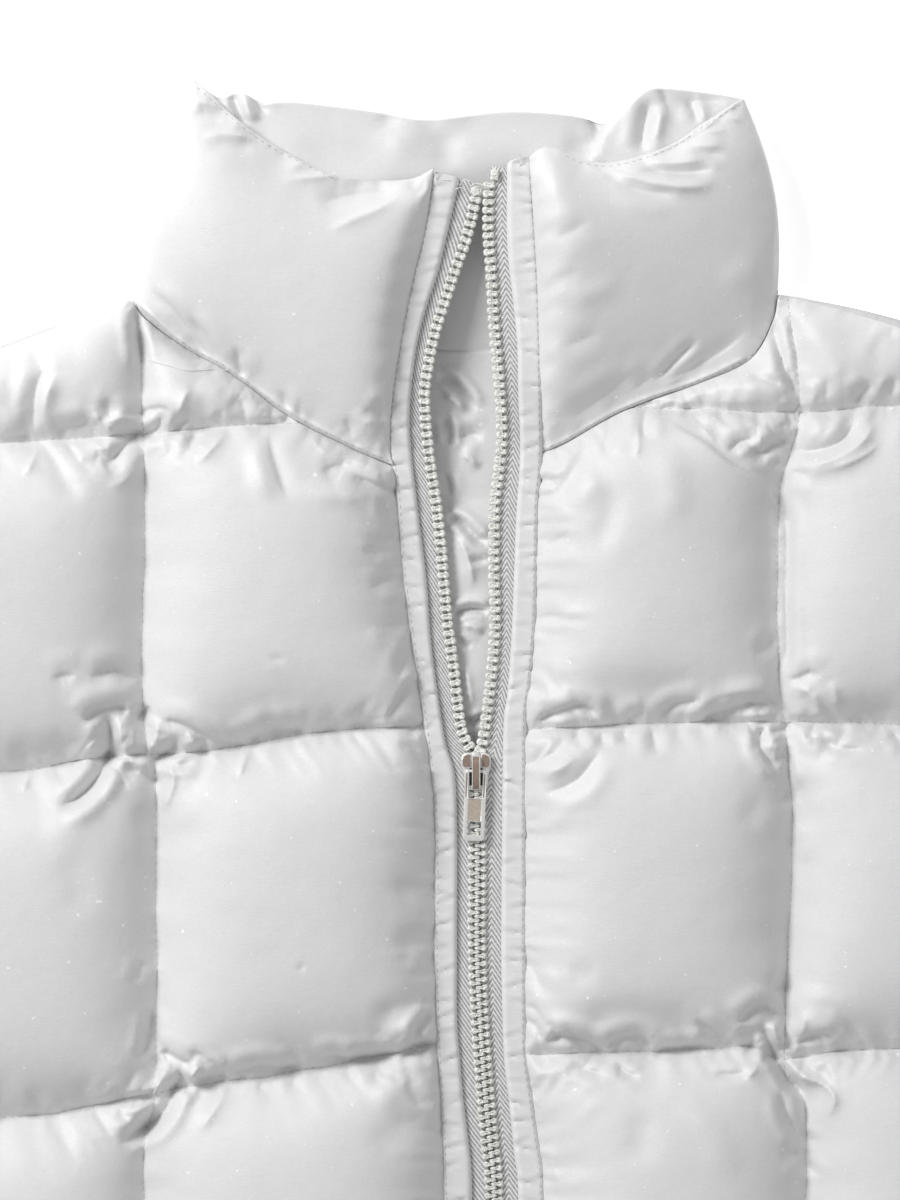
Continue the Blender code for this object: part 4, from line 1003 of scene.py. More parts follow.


# ---------------------------------------------------------------- creases, one by one

# Each row: rise of a ridge (below 0 a trough), step up to the left of its direction, width (all
# in mm), share of its length over which its ends fade, and its points in the picture: x, y,
# x, y and so on.

LEFT_CREASES = (
    # where the first row crosses the column
    (-0.5, 1.6, 4, 0.25, (120, 413, 134, 412, 147, 409, 160, 407, 169, 410, 175, 420)),
    (1.3, 0, 4.5, 0.35, (98, 424, 114, 420, 132, 418, 150, 415)),
    (-2.4, 0, 4, 0.3, (162, 411, 160, 424, 150, 433, 136, 438)),
    (-1.6, 0, 4, 0.3, (172, 428, 182, 423, 192, 421)),
    (1.5, 0, 5, 0.4, (192, 386, 183, 404, 178, 420)),
    (-3.6, 0, 6.2, 0.3, (146, 424, 134, 436, 121, 452, 104, 470)),
    (1.6, 0, 6.5, 0.4, (152, 458, 130, 478, 106, 491)),
    (-1.5, 0, 7, 0.4, (50, 448, 58, 468, 70, 486, 88, 503)),
    (1.4, 0, 6, 0.4, (42, 444, 34, 462, 26, 480)),
    (1, 0, 4.5, 0.4, (68, 440, 80, 452, 86, 470)),
    (-1.1, 0, 4.5, 0.4, (96, 440, 99, 455, 96, 470)),
    (-2, 0, 5, 0.35, (47, 366, 38, 388, 35, 412, 36, 438)),
    (1.2, 0, 5, 0.4, (58, 374, 48, 398, 46, 422)),
    (-1.4, 1.6, 5, 0.3, (52, 432, 68, 427, 84, 423, 96, 418)),
    (1.4, 0, 3.2, 0.3, (95, 412, 103, 424, 116, 431)),
    (-1.2, 1.2, 6, 0.3, (0, 438, 16, 436, 32, 433)),
    (-1.6, 0, 5, 0.4, (104, 398, 110, 412, 113, 424)),
    (-3, -1.5, 4, 0.3, (133, 302, 136, 325, 139, 345, 143, 372)),
    (-2.6, 0, 5, 0.2, (133, 304, 150, 319, 170, 334, 192, 350, 214, 368)),
    (-1.2, 0, 5, 0.4, (238, 396, 245, 410, 246, 424)),
    (1.7, 0, 5, 0.4, (228, 430, 214, 448, 196, 466)),
    (-1, 0, 4, 0.4, (200, 432, 192, 441, 190, 452)),
    (1.4, 0, 8, 0.35, (260, 422, 259, 448, 262, 474, 274, 504)),
    (-0.7, -1, 6, 0.35, (268, 424, 271, 450, 278, 474, 290, 506)),
    # under the neck seam
    (0.8, 0, 2.4, 0.3, (311, 436, 319, 447, 331, 453, 346, 453)),
    (-1.6, 1.6, 7, 0.35, (318, 474, 332, 466, 345, 464, 352, 472)),
    (-1.4, 2.4, 6, 0.25, (350, 472, 364, 479, 380, 485, 395, 489, 406, 497, 416, 498)),
    (1.3, 0, 8, 0.4, (296, 484, 320, 494, 345, 496, 372, 502)),
    (1.2, 0, 5, 0.4, (318, 458, 345, 458, 370, 466, 392, 476)),
    (-1.2, 0, 3.5, 0.4, (381, 496, 386, 510, 396, 519)),
    (-1.3, 0, 8, 0.4, (362, 553, 382, 547, 400, 546)),
    (-1, 0, 6, 0.4, (368, 590, 388, 580, 402, 574)),
    (-1.1, 0, 8, 0.4, (376, 640, 394, 632, 408, 626)),
    (-1.6, 0, 5, 0.4, (397, 680, 404, 664, 412, 646)),
    # where the second row crosses the column
    (-1.4, 1.4, 6, 0.3, (90, 678, 102, 672, 118, 670, 130, 676, 140, 681)),
    (-0.8, 0.8, 6, 0.4, (52, 680, 66, 674, 80, 676)),
    (-1.8, 2.6, 6, 0.2, (84, 722, 92, 713, 104, 707, 120, 706, 134, 710)),
    (-4.6, 0, 5.6, 0.2, (106, 708, 110, 725, 111, 745, 105, 764, 95, 782, 78, 798, 58, 806)),
    (-2, 1.2, 4, 0.25, (136, 720, 141, 713, 151, 706)),
    (1.4, 0, 4, 0.3, (122, 716, 121, 734, 128, 752, 142, 768)),
    (2, 0, 5, 0.4, (133, 722, 136, 740, 143, 754)),
    (2.6, 0, 6, 0.35, (157, 716, 158, 732, 152, 746, 146, 756)),
    (-3, 0, 4.4, 0.3, (178, 734, 174, 746, 163, 755, 150, 763)),
    (-1.4, 1.4, 4, 0.3, (126, 757, 134, 767, 144, 774, 154, 779, 167, 780)),
    (-1.2, -1, 3, 0.3, (157, 769, 170, 765, 184, 765, 198, 761)),
    (1.9, 0, 4.5, 0.3, (160, 772, 170, 769, 175, 778, 171, 794, 162, 814)),
    (-1.2, 0, 5, 0.4, (116, 764, 124, 778, 128, 794)),
    (1.3, 0, 5, 0.4, (98, 738, 88, 750, 80, 764)),
    (-1.3, 1.2, 9, 0.3, (0, 758, 22, 752, 46, 748, 68, 742, 86, 732)),
    (-1, 2.4, 5, 0.2, (158, 722, 168, 719, 182, 722, 196, 729, 210, 736, 228, 741, 250, 742)),
    (-1.8, 1.8, 6, 0.2, (244, 743, 256, 736, 270, 730, 288, 729, 310, 730)),
    (-1.5, 1.5, 7, 0.3, (306, 728, 336, 724, 366, 719, 392, 714)),
    (1, 0, 3, 0.4, (186, 730, 194, 739, 197, 750)),
    (-1.4, 0, 4, 0.4, (205, 736, 203, 746, 198, 756)),
    (1.2, 0, 4, 0.4, (250, 748, 244, 762, 240, 778)),
    (1.2, 0, 4, 0.4, (34, 768, 28, 780, 24, 794)),
    (-1.2, 0, 7, 0.4, (140, 800, 146, 816, 148, 836)),
    (-1, 0, 12, 0.4, (60, 850, 80, 880, 88, 920)),
    (1, 0, 12, 0.4, (98, 800, 72, 824, 44, 846)),
    # where the third row crosses the column
    (-1.8, 0, 4, 0.3, (152, 1004, 150, 1030, 145, 1050, 140, 1062)),
    (-0.8, 0, 4, 0.3, (144, 958, 140, 972, 138, 984)),
    (-1.2, 2.6, 5, 0.2, (160, 1052, 167, 1050, 176, 1055, 186, 1060, 195, 1062)),
    (2.4, 0, 4.6, 0.3, (174, 1062, 166, 1068, 160, 1082, 150, 1094)),
    (1.8, 0, 4.5, 0.3, (201, 1062, 197, 1070, 189, 1078)),
    (-3.6, 0, 5, 0.2, (180, 1060, 180, 1076, 173, 1092, 166, 1108, 154, 1122, 138, 1132, 118, 1144)),
    (-1.4, 0, 3.4, 0.3, (182, 1072, 187, 1084, 190, 1096)),
    (2.2, 0, 6.5, 0.3, (124, 1114, 138, 1108, 152, 1106, 158, 1112)),
    (-0.8, -1.4, 3, 0.3, (130, 1107, 144, 1100, 160, 1099)),
    (-1.4, 2, 5, 0.2, (192, 1082, 202, 1077, 214, 1074, 228, 1074)),
    (-1.6, 2.6, 5, 0.2, (228, 1073, 246, 1066, 262, 1064, 282, 1066, 304, 1062)),
    (-1.8, 2.8, 5, 0.2, (312, 1058, 330, 1055, 352, 1057, 376, 1055, 398, 1050)),
    (-1.4, 2, 4, 0.25, (398, 1062, 408, 1050, 418, 1044, 436, 1040)),
    (-1.2, 1.6, 4, 0.3, (412, 1042, 418, 1026, 434, 1008)),
    (1.5, 0, 8, 0.4, (380, 1036, 404, 1030, 422, 1012)),
    (-1.7, 0, 9, 0.35, (364, 1016, 398, 1010, 418, 1000, 437, 982)),
    (-1.5, 0, 9, 0.4, (392, 946, 416, 938, 435, 924)),
    (-1.3, 0, 9, 0.4, (392, 892, 412, 886, 432, 878)),
    (-0.9, 0, 5, 0.4, (420, 978, 430, 964, 434, 950)),
    (1.5, 0, 9, 0.4, (408, 1066, 396, 1084, 370, 1106)),
    (-1.3, 0, 12, 0.4, (440, 1098, 404, 1122, 366, 1156)),
    (1.4, 0, 6, 0.4, (230, 1084, 216, 1108, 198, 1132)),
    (-0.9, 0, 4, 0.5, (262, 1074, 261, 1084, 260, 1096)),
    (-0.9, 0, 4, 0.5, (293, 1070, 294, 1080, 294, 1092)),
    (-0.8, 0, 3.4, 0.5, (347, 1064, 349, 1072, 350, 1082)),
    (-1, 0, 5, 0.5, (372, 1062, 376, 1072, 378, 1088)),
    (1.2, 0, 12, 0.4, (158, 1128, 156, 1156, 150, 1190)),
    (-0.35, 0, 3, 0.5, (298, 970, 303, 965, 309, 964)),
    (-0.4, 0, 3.4, 0.5, (268, 655, 282, 660, 288, 664)),
)

RIGHT_CREASES = (
    # where the first row crosses the column
    (-1, 1.8, 3.6, 0.3, (655, 410, 664, 406, 678, 401)),
    (0, -2.4, 6, 0.2, (669, 422, 684, 432, 700, 440, 714, 451, 730, 464, 748, 474, 762, 481, 771, 492,
     778, 512)),
    (-1.9, 0, 7, 0.35, (700, 418, 714, 431, 733, 437, 758, 434)),
    (0.8, 0, 3, 0.4, (699, 424, 707, 434, 718, 444)),
    (-0.9, 0, 3.2, 0.4, (682, 418, 688, 411, 693, 406)),
    (-1.4, 1.4, 4, 0.3, (726, 454, 734, 444, 744, 440, 756, 439)),
    (-2, 1.8, 5, 0.25, (746, 446, 760, 453, 768, 447, 778, 441, 792, 441)),
    (-1.2, 0, 3.6, 0.4, (766, 467, 774, 464, 783, 460)),
    (-1.5, 0, 5, 0.4, (774, 432, 784, 424, 797, 420)),
    (1.2, 0, 4, 0.4, (786, 434, 794, 429, 804, 424)),
    (-3.2, 0, 6, 0.3, (786, 444, 798, 451, 814, 451, 832, 446, 846, 436, 853, 424, 858, 412)),
    (1.7, 0, 4, 0.3, (800, 466, 824, 462, 846, 452, 864, 438, 874, 420)),
    (1, 0, 3.6, 0.4, (820, 472, 846, 464, 868, 452, 882, 436)),
    (-1.1, 0, 5, 0.4, (790, 470, 800, 474, 812, 474)),
    (-1, -1.2, 3.6, 0.3, (744, 377, 760, 380, 778, 386, 786, 391)),
    (-1.2, 1.8, 4, 0.3, (788, 366, 792, 382, 797, 398)),
    (-1.9, 0, 5, 0.35, (848, 404, 860, 396, 872, 381)),
    (-1.2, 0, 4, 0.4, (887, 400, 892, 388, 894, 376)),
    (-0.9, 0, 4, 0.4, (825, 376, 826, 388, 825, 402)),
    (1.2, 0, 6, 0.4, (808, 380, 812, 392, 814, 404)),
    (-2.6, 0, 4, 0.25, (772, 318, 776, 340, 782, 362, 786, 380)),
    # under the neck seam
    (-2.4, 0, 7, 0.35, (557, 510, 566, 484, 580, 462, 598, 438)),
    (-1.3, 0, 7, 0.4, (540, 548, 550, 524, 560, 506)),
    (1.4, 0, 9, 0.4, (570, 512, 586, 490, 602, 470)),
    (-1.2, 0, 9, 0.4, (604, 478, 610, 510, 600, 540, 588, 556)),
    (1.4, 0, 12, 0.4, (666, 432, 670, 470, 672, 504, 652, 536)),
    (-1.8, 0, 5, 0.35, (648, 406, 643, 424, 644, 444)),
    (0.9, 0, 3, 0.4, (636, 420, 638, 440, 635, 462)),
    (-1, 0, 5, 0.4, (610, 424, 606, 440, 604, 460)),
    (-1.8, 0, 3.2, 0.3, (534, 482, 546, 480, 558, 484)),
    (-1.2, 0, 6, 0.4, (538, 550, 556, 541, 572, 532)),
    (-1, 0, 5, 0.4, (534, 621, 550, 616, 566, 618)),
    (-2.2, 0, 3.6, 0.15, (784, 494, 787, 540, 786, 600, 787, 650, 784, 676)),
    (-1.1, 0, 5, 0.4, (752, 657, 766, 646, 779, 634)),
    # where the second row crosses the column
    (-1, 1.5, 5, 0.3, (784, 676, 796, 677, 808, 671, 820, 676)),
    (0.9, 0, 3, 0.35, (786, 686, 804, 690, 816, 702, 821, 716)),
    (-1.4, 2.8, 5, 0.2, (530, 724, 544, 715, 560, 709, 577, 704, 591, 708, 600, 720)),
    (-1, 1.6, 4, 0.25, (624, 724, 632, 714, 646, 710)),
    (-1.2, 2, 4, 0.25, (657, 722, 664, 709, 678, 701, 704, 698)),
    (-1.6, 3, 5, 0.2, (698, 722, 710, 714, 728, 708, 748, 702, 770, 705)),
    (-1.6, 0, 14, 0.3, (566, 698, 600, 688, 650, 687, 700, 688, 716, 693)),
    (-0.6, 1.2, 4, 0.3, (712, 697, 738, 695, 762, 697, 778, 706, 786, 718)),
    (-2.2, 0, 4, 0.25, (768, 722, 761, 732, 759, 746, 768, 760, 778, 774)),
    (1.3, 0, 2.8, 0.3, (753, 742, 761, 758, 771, 772, 779, 780)),
    (1.9, 0, 7, 0.35, (772, 732, 777, 742, 778, 752)),
    (-1, 1, 2.6, 0.3, (766, 731, 778, 731, 790, 724)),
    (-1.2, 0, 3, 0.4, (774, 758, 780, 757, 786, 755)),
    (1.7, 0, 5, 0.35, (789, 738, 794, 762, 800, 792)),
    (1.3, 0, 8, 0.4, (800, 816, 803, 840, 804, 866)),
    (-1.2, 1, 4, 0.3, (800, 729, 818, 739, 840, 747, 868, 748)),
    (-0.8, 0.8, 3.4, 0.3, (820, 726, 826, 738, 836, 746)),
    (-1.1, 0, 3.4, 0.4, (891, 730, 896, 738, 904, 744)),
    (-1.4, 1.8, 9, 0.3, (843, 724, 852, 712, 872, 706, 900, 708)),
    (1.3, 0, 6, 0.4, (828, 678, 834, 694, 836, 712)),
    (-1.2, 0, 4, 0.45, (578, 727, 579, 738, 578, 750)),
    (-1.2, 0, 4, 0.45, (600, 725, 601, 738, 603, 750)),
    (-1.1, 0, 4, 0.45, (622, 724, 624, 734, 626, 746)),
    (-1.3, 0, 5, 0.45, (650, 723, 653, 738, 657, 758)),
    (-1.6, 0, 5, 0.35, (526, 770, 544, 758, 562, 749)),
    (-1.9, 0, 6, 0.35, (538, 795, 560, 788, 578, 778, 592, 761, 604, 744)),
    (1.2, 0, 6, 0.4, (540, 776, 562, 766, 578, 754)),
    (-1.2, 0, 4, 0.4, (776, 801, 783, 798, 789, 790)),
    (-1, 0, 9, 0.4, (740, 832, 754, 808, 768, 790)),
    # where the third row crosses the column
    (-1.2, 1.6, 3, 0.25, (522, 1018, 534, 1022, 540, 1032, 543, 1042)),
    (-1.6, 2.8, 5, 0.2, (542, 1042, 558, 1034, 578, 1037, 598, 1047, 610, 1054)),
    (-1.6, 2.4, 5, 0.2, (604, 1048, 618, 1036, 638, 1035, 654, 1046)),
    (-1.4, 2.4, 4.4, 0.2, (652, 1048, 676, 1047, 706, 1044)),
    (-1.8, 0, 14, 0.3, (566, 1026, 610, 1018, 660, 1020, 712, 1026)),
    (-1.5, 1.2, 4, 0.3, (692, 1016, 714, 1030, 740, 1048)),
    (-1.4, 2.4, 5, 0.25, (736, 1024, 746, 1011, 760, 1004, 772, 1011, 784, 1014)),
    (-1.6, 0, 5, 0.35, (750, 1024, 752, 1040, 742, 1058)),
    (-3.2, 1, 4, 0.2, (760, 1020, 767, 1038, 775, 1058, 785, 1074, 796, 1086, 808, 1096)),
    (2.2, 0, 5, 0.3, (770, 1018, 776, 1034, 786, 1048)),
    (2, 0, 4.4, 0.3, (786, 1062, 804, 1076, 824, 1084, 833, 1098, 826, 1118)),
    (1.2, 0, 4, 0.4, (800, 1006, 803, 1024, 798, 1040)),
    (-1.4, 2.2, 5, 0.25, (793, 1046, 804, 1037, 820, 1032, 838, 1034)),
    (-1.4, 0, 9, 0.4, (826, 1054, 840, 1044, 852, 1030, 862, 1010)),
    (-0.9, 0, 3.4, 0.4, (802, 1060, 814, 1069, 828, 1074)),
    (-1.4, 0, 6, 0.4, (766, 992, 780, 986, 796, 990)),
    (-1, 1, 4, 0.35, (572, 1065, 590, 1068, 608, 1074)),
    (-1.2, 1.2, 3.4, 0.35, (615, 1058, 625, 1070, 642, 1076)),
    (-1, 1, 3.6, 0.35, (710, 1071, 730, 1072, 748, 1069)),
    (1.2, 0, 3.4, 0.4, (742, 1076, 753, 1070, 756, 1060)),
    (-1.2, 0, 6, 0.4, (778, 1151, 790, 1151, 802, 1152)),
    (-1.6, 0, 4.4, 0.35, (779, 1082, 784, 1108, 794, 1130, 802, 1150)),
    (-1, 0, 3.4, 0.4, (803, 1128, 810, 1138, 817, 1146)),
    (-1, 0, 3.4, 0.4, (806, 1158, 812, 1168, 819, 1178)),
    (-1.2, 0, 4, 0.4, (528, 958, 536, 976, 546, 998)),
    (1.4, 0, 14, 0.4, (816, 980, 812, 1006, 806, 1026)),
    (-1.2, 0, 12, 0.4, (656, 1100, 640, 1130, 640, 1170)),
    (1.2, 0, 12, 0.4, (670, 1096, 710, 1130, 736, 1180)),
    (1, 0, 4, 0.4, (548, 1140, 553, 1165, 556, 1195)),
    (-1, 0, 9, 0.4, (566, 970, 584, 972, 600, 970)),
)

LINING_CREASES = (
    (-2.6, 0, 44, 0.1, (467, 310, 468, 380, 466, 430, 466, 520)),
    (1.4, 0, 44, 0.2, (468, 490, 472, 600, 474, 740)),
    (-2.6, 1.4, 3.1, 0.25, (436, 374, 452, 380, 466, 394, 476, 412)),
    (1.6, 0, 3.7, 0.4, (440, 392, 454, 400, 466, 414)),
    (-2.4, 0, 3.1, 0.3, (441, 416, 447, 424, 450, 436, 448, 448)),
    (-1.6, 0, 5, 0.4, (452, 440, 470, 434, 486, 436)),
    (1.6, 0, 4.3, 0.4, (458, 454, 470, 458, 480, 470)),
    (-1.6, 0, 3.7, 0.4, (444, 470, 448, 484, 452, 498)),
    (-2.6, 1.6, 3.1, 0.2, (446, 516, 460, 520, 472, 532, 482, 540, 492, 540)),
    (2.2, 0, 5.6, 0.35, (450, 536, 462, 544, 470, 566, 474, 590)),
    (-1, 0, 2.5, 0.4, (466, 561, 478, 560, 490, 562)),
    (-2.4, 1.6, 2.7, 0.2, (452, 616, 462, 610, 474, 608, 490, 611)),
    (1.8, 0, 4.3, 0.4, (458, 626, 472, 626, 486, 634)),
    (-1.4, 0, 2.2, 0.35, (452, 638, 462, 642, 472, 648)),
    (1.4, 0, 5, 0.4, (466, 660, 470, 690, 474, 712)),
    (-1.8, 1.2, 2.5, 0.3, (458, 718, 470, 722, 486, 717)),
    (-1.2, 0, 7.4, 0.4, (476, 250, 474, 290, 478, 330)),
    (1, 0, 6.2, 0.4, (468, 250, 462, 290, 452, 330)),
)

FLAP_CREASES = (
    # left flap of the collar
    (1.1, 0, 2.2, 0.04, (136, 301, 152, 316, 184, 343, 230, 369, 287, 410, 347, 442, 388, 460)),
    (1.2, 0, 2, 0.08, (196, 82, 214, 98, 229, 113, 244, 127, 264, 142, 289, 154, 309, 165, 334, 178)),
    (-1.2, 1.6, 4, 0.25, (152, 284, 162, 297, 175, 311, 189, 330, 204, 350, 222, 368)),
    (-1.2, 1.8, 4, 0.25, (188, 314, 203, 331, 215, 348, 228, 366, 238, 379)),
    (-0.9, 0, 9, 0.4, (176, 304, 198, 334, 220, 362)),
    (-1.8, 0, 5, 0.35, (238, 346, 239, 364, 246, 382)),
    (-1.1, 0, 3.4, 0.4, (281, 390, 285, 400, 291, 412)),
    (-1, 0, 3.2, 0.4, (297, 404, 300, 412, 303, 420)),
    (-1.1, 0, 4, 0.4, (343, 418, 350, 427, 352, 440)),
    (-1, 0.8, 5, 0.35, (360, 408, 374, 412, 390, 421)),
    (1, 0, 5, 0.4, (362, 426, 374, 422, 384, 428)),
    (1.7, 0, 5, 0.3, (280, 184, 300, 180, 322, 178, 346, 176, 372, 178, 400, 183)),
    (-2.8, 1, 8, 0.3, (316, 203, 340, 196, 362, 192, 382, 190, 402, 184)),
    (1.4, 0, 6, 0.35, (326, 234, 352, 222, 376, 212, 404, 196)),
    (0.9, 0, 3.4, 0.35, (186, 106, 204, 104, 224, 109)),
    (-0.8, 0, 4, 0.4, (190, 114, 208, 113, 228, 118)),
    (0.9, 0, 3.4, 0.35, (214, 120, 230, 124, 246, 130)),
    (1, 0, 4, 0.35, (200, 137, 224, 136, 260, 141)),
    (-0.8, 0, 5, 0.4, (204, 146, 228, 146, 256, 152)),
    (0.8, 0, 5, 0.4, (284, 172, 300, 166, 320, 164)),
    (-1.2, 0, 7, 0.2, (424, 200, 415, 236, 405, 280, 397, 320, 391, 356)),
    (-1, 0, 5, 0.4, (374, 398, 380, 410, 384, 424)),
    (0.8, 0, 14, 0.4, (170, 150, 166, 200, 160, 250)),
    # right flap of the collar
    (0.9, 0, 2.2, 0.04, (543, 450, 565, 440, 622, 408, 700, 379, 748, 356)),
    (1.2, 0, 2, 0.08, (642, 161, 680, 141, 705, 128, 725, 111, 741, 100)),
    (0.9, 0, 3.2, 0.3, (640, 162, 668, 165, 706, 162)),
    (-2.2, 0, 5, 0.3, (636, 170, 664, 173, 694, 173, 716, 169)),
    (1.7, 0, 4.6, 0.3, (596, 164, 618, 175, 646, 183, 682, 189, 714, 188)),
    (0.9, 0, 4, 0.4, (580, 164, 598, 174, 614, 184)),
    (-1.2, 0, 6, 0.35, (610, 184, 640, 192, 680, 197)),
    (1, 0, 3.4, 0.35, (674, 149, 696, 147, 726, 149)),
    (-0.8, 0, 4, 0.4, (684, 154, 706, 155, 728, 156)),
    (0.8, 0, 3.4, 0.4, (694, 136, 710, 133, 728, 132)),
    (0.7, 0, 3.4, 0.4, (716, 120, 730, 119, 744, 121)),
    (-0.6, 0, 6, 0.4, (548, 243, 570, 234, 592, 219)),
    (-0.4, 0, 6, 0.4, (548, 282, 566, 278, 584, 272)),
    (-0.6, 0, 6, 0.4, (556, 352, 580, 342, 604, 333)),
    (0.9, 0, 8, 0.4, (560, 310, 590, 296, 624, 280)),
    (-1.3, 1.2, 3.6, 0.3, (700, 338, 684, 354, 670, 368, 654, 384)),
    (-1.6, 1.4, 7, 0.3, (752, 328, 736, 342, 716, 356, 692, 370, 656, 388)),
    (-1.2, 0, 6, 0.4, (662, 372, 640, 384, 616, 402, 602, 414)),
    (-1.2, 0, 6, 0.4, (640, 368, 616, 386, 592, 404, 568, 424)),
    (1, 0, 5, 0.4, (648, 376, 626, 394, 610, 408)),
    (-1.2, 0, 9, 0.4, (600, 396, 572, 412, 548, 428)),
    (0.8, 0, 10, 0.4, (764, 262, 740, 276, 718, 292)),
    (0.8, 0, 7, 0.4, (700, 352, 678, 366, 664, 378)),
)

COLLAR_BACK_CREASES = (
    (-1.8, 0, 4, 0.25, (230, 90, 236, 104, 241, 116, 247, 128)),
    (1, 0, 4, 0.3, (224, 96, 230, 108, 238, 120)),
    (1.4, 0, 6, 0.35, (243, 90, 246, 104, 251, 124)),
    (-1, 0, 4, 0.35, (252, 92, 260, 106, 268, 116)),
    (1.4, 0, 12, 0.4, (386, 162, 404, 138, 426, 114)),
    (-1.6, 0, 10, 0.4, (444, 124, 446, 148, 444, 176)),
    (-0.8, 0, 8, 0.4, (382, 110, 388, 120, 392, 130)),
    (-1.2, 0, 14, 0.4, (290, 142, 340, 154, 400, 162)),
    (1, 0, 8, 0.4, (430, 118, 452, 112, 476, 110)),
    (-1.2, 0, 9, 0.4, (560, 146, 578, 152, 592, 150)),
    (-1.6, 0, 4, 0.3, (588, 116, 594, 122, 602, 132)),
    (0, -5, 9, 0.12, (588, 162, 600, 138, 614, 118, 632, 98, 652, 84, 664, 80)),
    (-2.2, 0, 5, 0.3, (652, 96, 647, 112, 643, 134, 641, 156)),
    (1.5, 0, 5, 0.4, (662, 100, 660, 122, 653, 148)),
    (-1.3, 0, 3.4, 0.35, (686, 98, 694, 108, 698, 124)),
    (1.2, 0, 4, 0.4, (696, 100, 702, 110, 706, 124)),
    (-1.2, 0, 6, 0.4, (672, 96, 700, 100, 730, 100)),
)


# ---------------------------------------------------------------- collar

RISE_STEPS = 34  # from the neck seam to the top edge
END_STEPS = 34  # from the zip to the fold
BACK_STEPS = 58  # from fold to fold
ZIP_GAP_DEPTH = 3.8  # how far the inside of the back sinks away behind the open zip
ZIP_GAP_NECK = 2.8  # and as much more at its lower edge, to meet the back's lining
NECK_LAP = 3.0  # the inside of the back runs this far under the back's lining
TIP_PINCH = 0.85  # how much thinner the folds get at the tips
FLAP_FULL = {-1: 0.6, 1: 1.0}  # how much fuller a flap is beside the zip
FLAP_NEAR = {-1: 14.0, 1: 18.0}  # and how far that reaches
RIGHT_LEAN = 0.9  # the right flap gets flatter towards its lower fold
LEAN_TOP_Y = 310.0  # from here
LEAN_RUN = 150.0  # over this distance
RIGHT_FULL = 0.25  # how much fuller the right flap is at its top
COLLAR_START = 15.0  # crown before the filling is blown in
COLLAR_SPARE = 0.02
COLLAR_PRESSURE = 26.0


def neck_y(x):
    """The neck seam's y on the upper layer at a given x."""
    table = sorted(list(LEFT_NECK) + list(RIGHT_NECK))
    return value_at(table, x)


def layer_height(x, y):
    """Where the collar's two layers meet: level with the fronts at the neck, then higher."""
    top = value_at(BACK_COLLAR_TOP, x)
    up = ease((y - neck_y(x)) / 35.0)
    down = 0.9 * ease((y - top + 22.0) / 22.0)
    return FRONT_BASE - LAYER_GAP / 2 + COLLAR_RISE * up * (1.0 - down)


def eased_steps(count):
    """Shares from 0 to 1 that lie closer together at both ends."""
    return [0.55 * k / count + 0.45 * (0.5 - 0.5 * math.cos(math.pi * k / count))
            for k in range(count + 1)]


def collar_plan(low, high, share, rise, bulge, nearness):
    """A collar point seen from above; the folds bow outwards between neck and tip."""
    x, y = along(low, share) * (1.0 - rise) + along(high, share) * rise
    return x + bulge * nearness * math.sin(math.pi * rise), y


def fold_wall(rise):
    """Thickness of the folds at the collar's sides, which come to a point at the tips."""
    return COLLAR_FOLD_WALL * (1.0 - TIP_PINCH * ease((rise - 0.72) / 0.28))


def end_section(side, share, curves):
    """Outer and inner points of a collar end, from the neck seam to the top edge and back."""
    low, high = curves
    stitch = STITCH_COURSE[side]
    bulge = -LEFT_FOLD_BULGE if side < 0 else RIGHT_FOLD_BULGE
    outer, inner = [], []
    for rise in eased_steps(RISE_STEPS):
        x, y = collar_plan(low, high, share, rise, bulge, share ** 4)
        edge = stitch(y)
        start_x = along(low, 0.0)[0] * (1 - rise) + along(high, 0.0)[0] * rise
        x += (edge - start_x) * (1 - share) ** 6
        fold_x = collar_plan(low, high, 1.0, rise, bulge, 1.0)[0]
        between = layer_height(x, y)
        swell = math.sin(math.pi * rise) ** 0.55 if 0.0 < rise < 1.0 else 0.0
        wall = SEAM_WALL + (COLLAR_START - SEAM_WALL) * swell * dome(abs(x - edge) / 34.0)
        gather = 0.7 * ripple(x / 8.0, y / 8.0, 31.0) * (1.0 - swell)
        top = between + LAYER_GAP / 2 + wall + gather
        height = between + (top - between) * dome(abs(fold_x - x) / COLLAR_FOLD_RADIUS)
        outer.append((x, y, height))
        tuck = side * fold_wall(rise) * ease((share - 0.75) / 0.25)
        lift = 0.0 if share == 1.0 else LAYER_GAP / 2
        inner.append((x - tuck, y, layer_height(x - tuck, y) + lift))
    return outer + inner[::-1]


def back_section(share, curves):
    """The same for the back of the collar, whose outer face rests on the surface."""
    neck, top_edge = curves
    near_left = max(0.0, 1.0 - share / 0.2) ** 2
    near_right = max(0.0, 1.0 - (1.0 - share) / 0.2) ** 2
    outer, inner = [], []
    for rise in eased_steps(RISE_STEPS):
        bulge = -LEFT_FOLD_BULGE * near_left + RIGHT_FOLD_BULGE * near_right
        x, y = collar_plan(neck, top_edge, share, rise, bulge, 1.0)
        left = collar_plan(neck, top_edge, 0.0, rise, -LEFT_FOLD_BULGE, 1.0)[0]
        right = collar_plan(neck, top_edge, 1.0, rise, RIGHT_FOLD_BULGE, 1.0)[0]
        to_fold = min(x - left, right - x)
        under = layer_height(x, y) * (1.0 - dome(to_fold / 16.0))
        under = max(under, 5.0 * (1.0 - dome(rise / 0.1)), 6.0 * (1.0 - dome((1.0 - rise) / 0.1)))
        outer.append((x, y, under))
        tuck = fold_wall(rise) * (near_left - near_right)
        sunk = ZIP_GAP_DEPTH * (1.0 - ease((rise - 0.6) / 0.3))
        sunk += ZIP_GAP_NECK * (1.0 - ease(rise / 0.35))
        sunk *= math.exp(-((x - 4.0) / 30.0) ** 4)
        lap = NECK_LAP if rise == 0.0 else 0.0
        inner.append((x + tuck, y - lap,
                      layer_height(x + tuck, y) - LAYER_GAP / 2 - sunk - 0.3 * lap))
    return outer + inner[::-1]


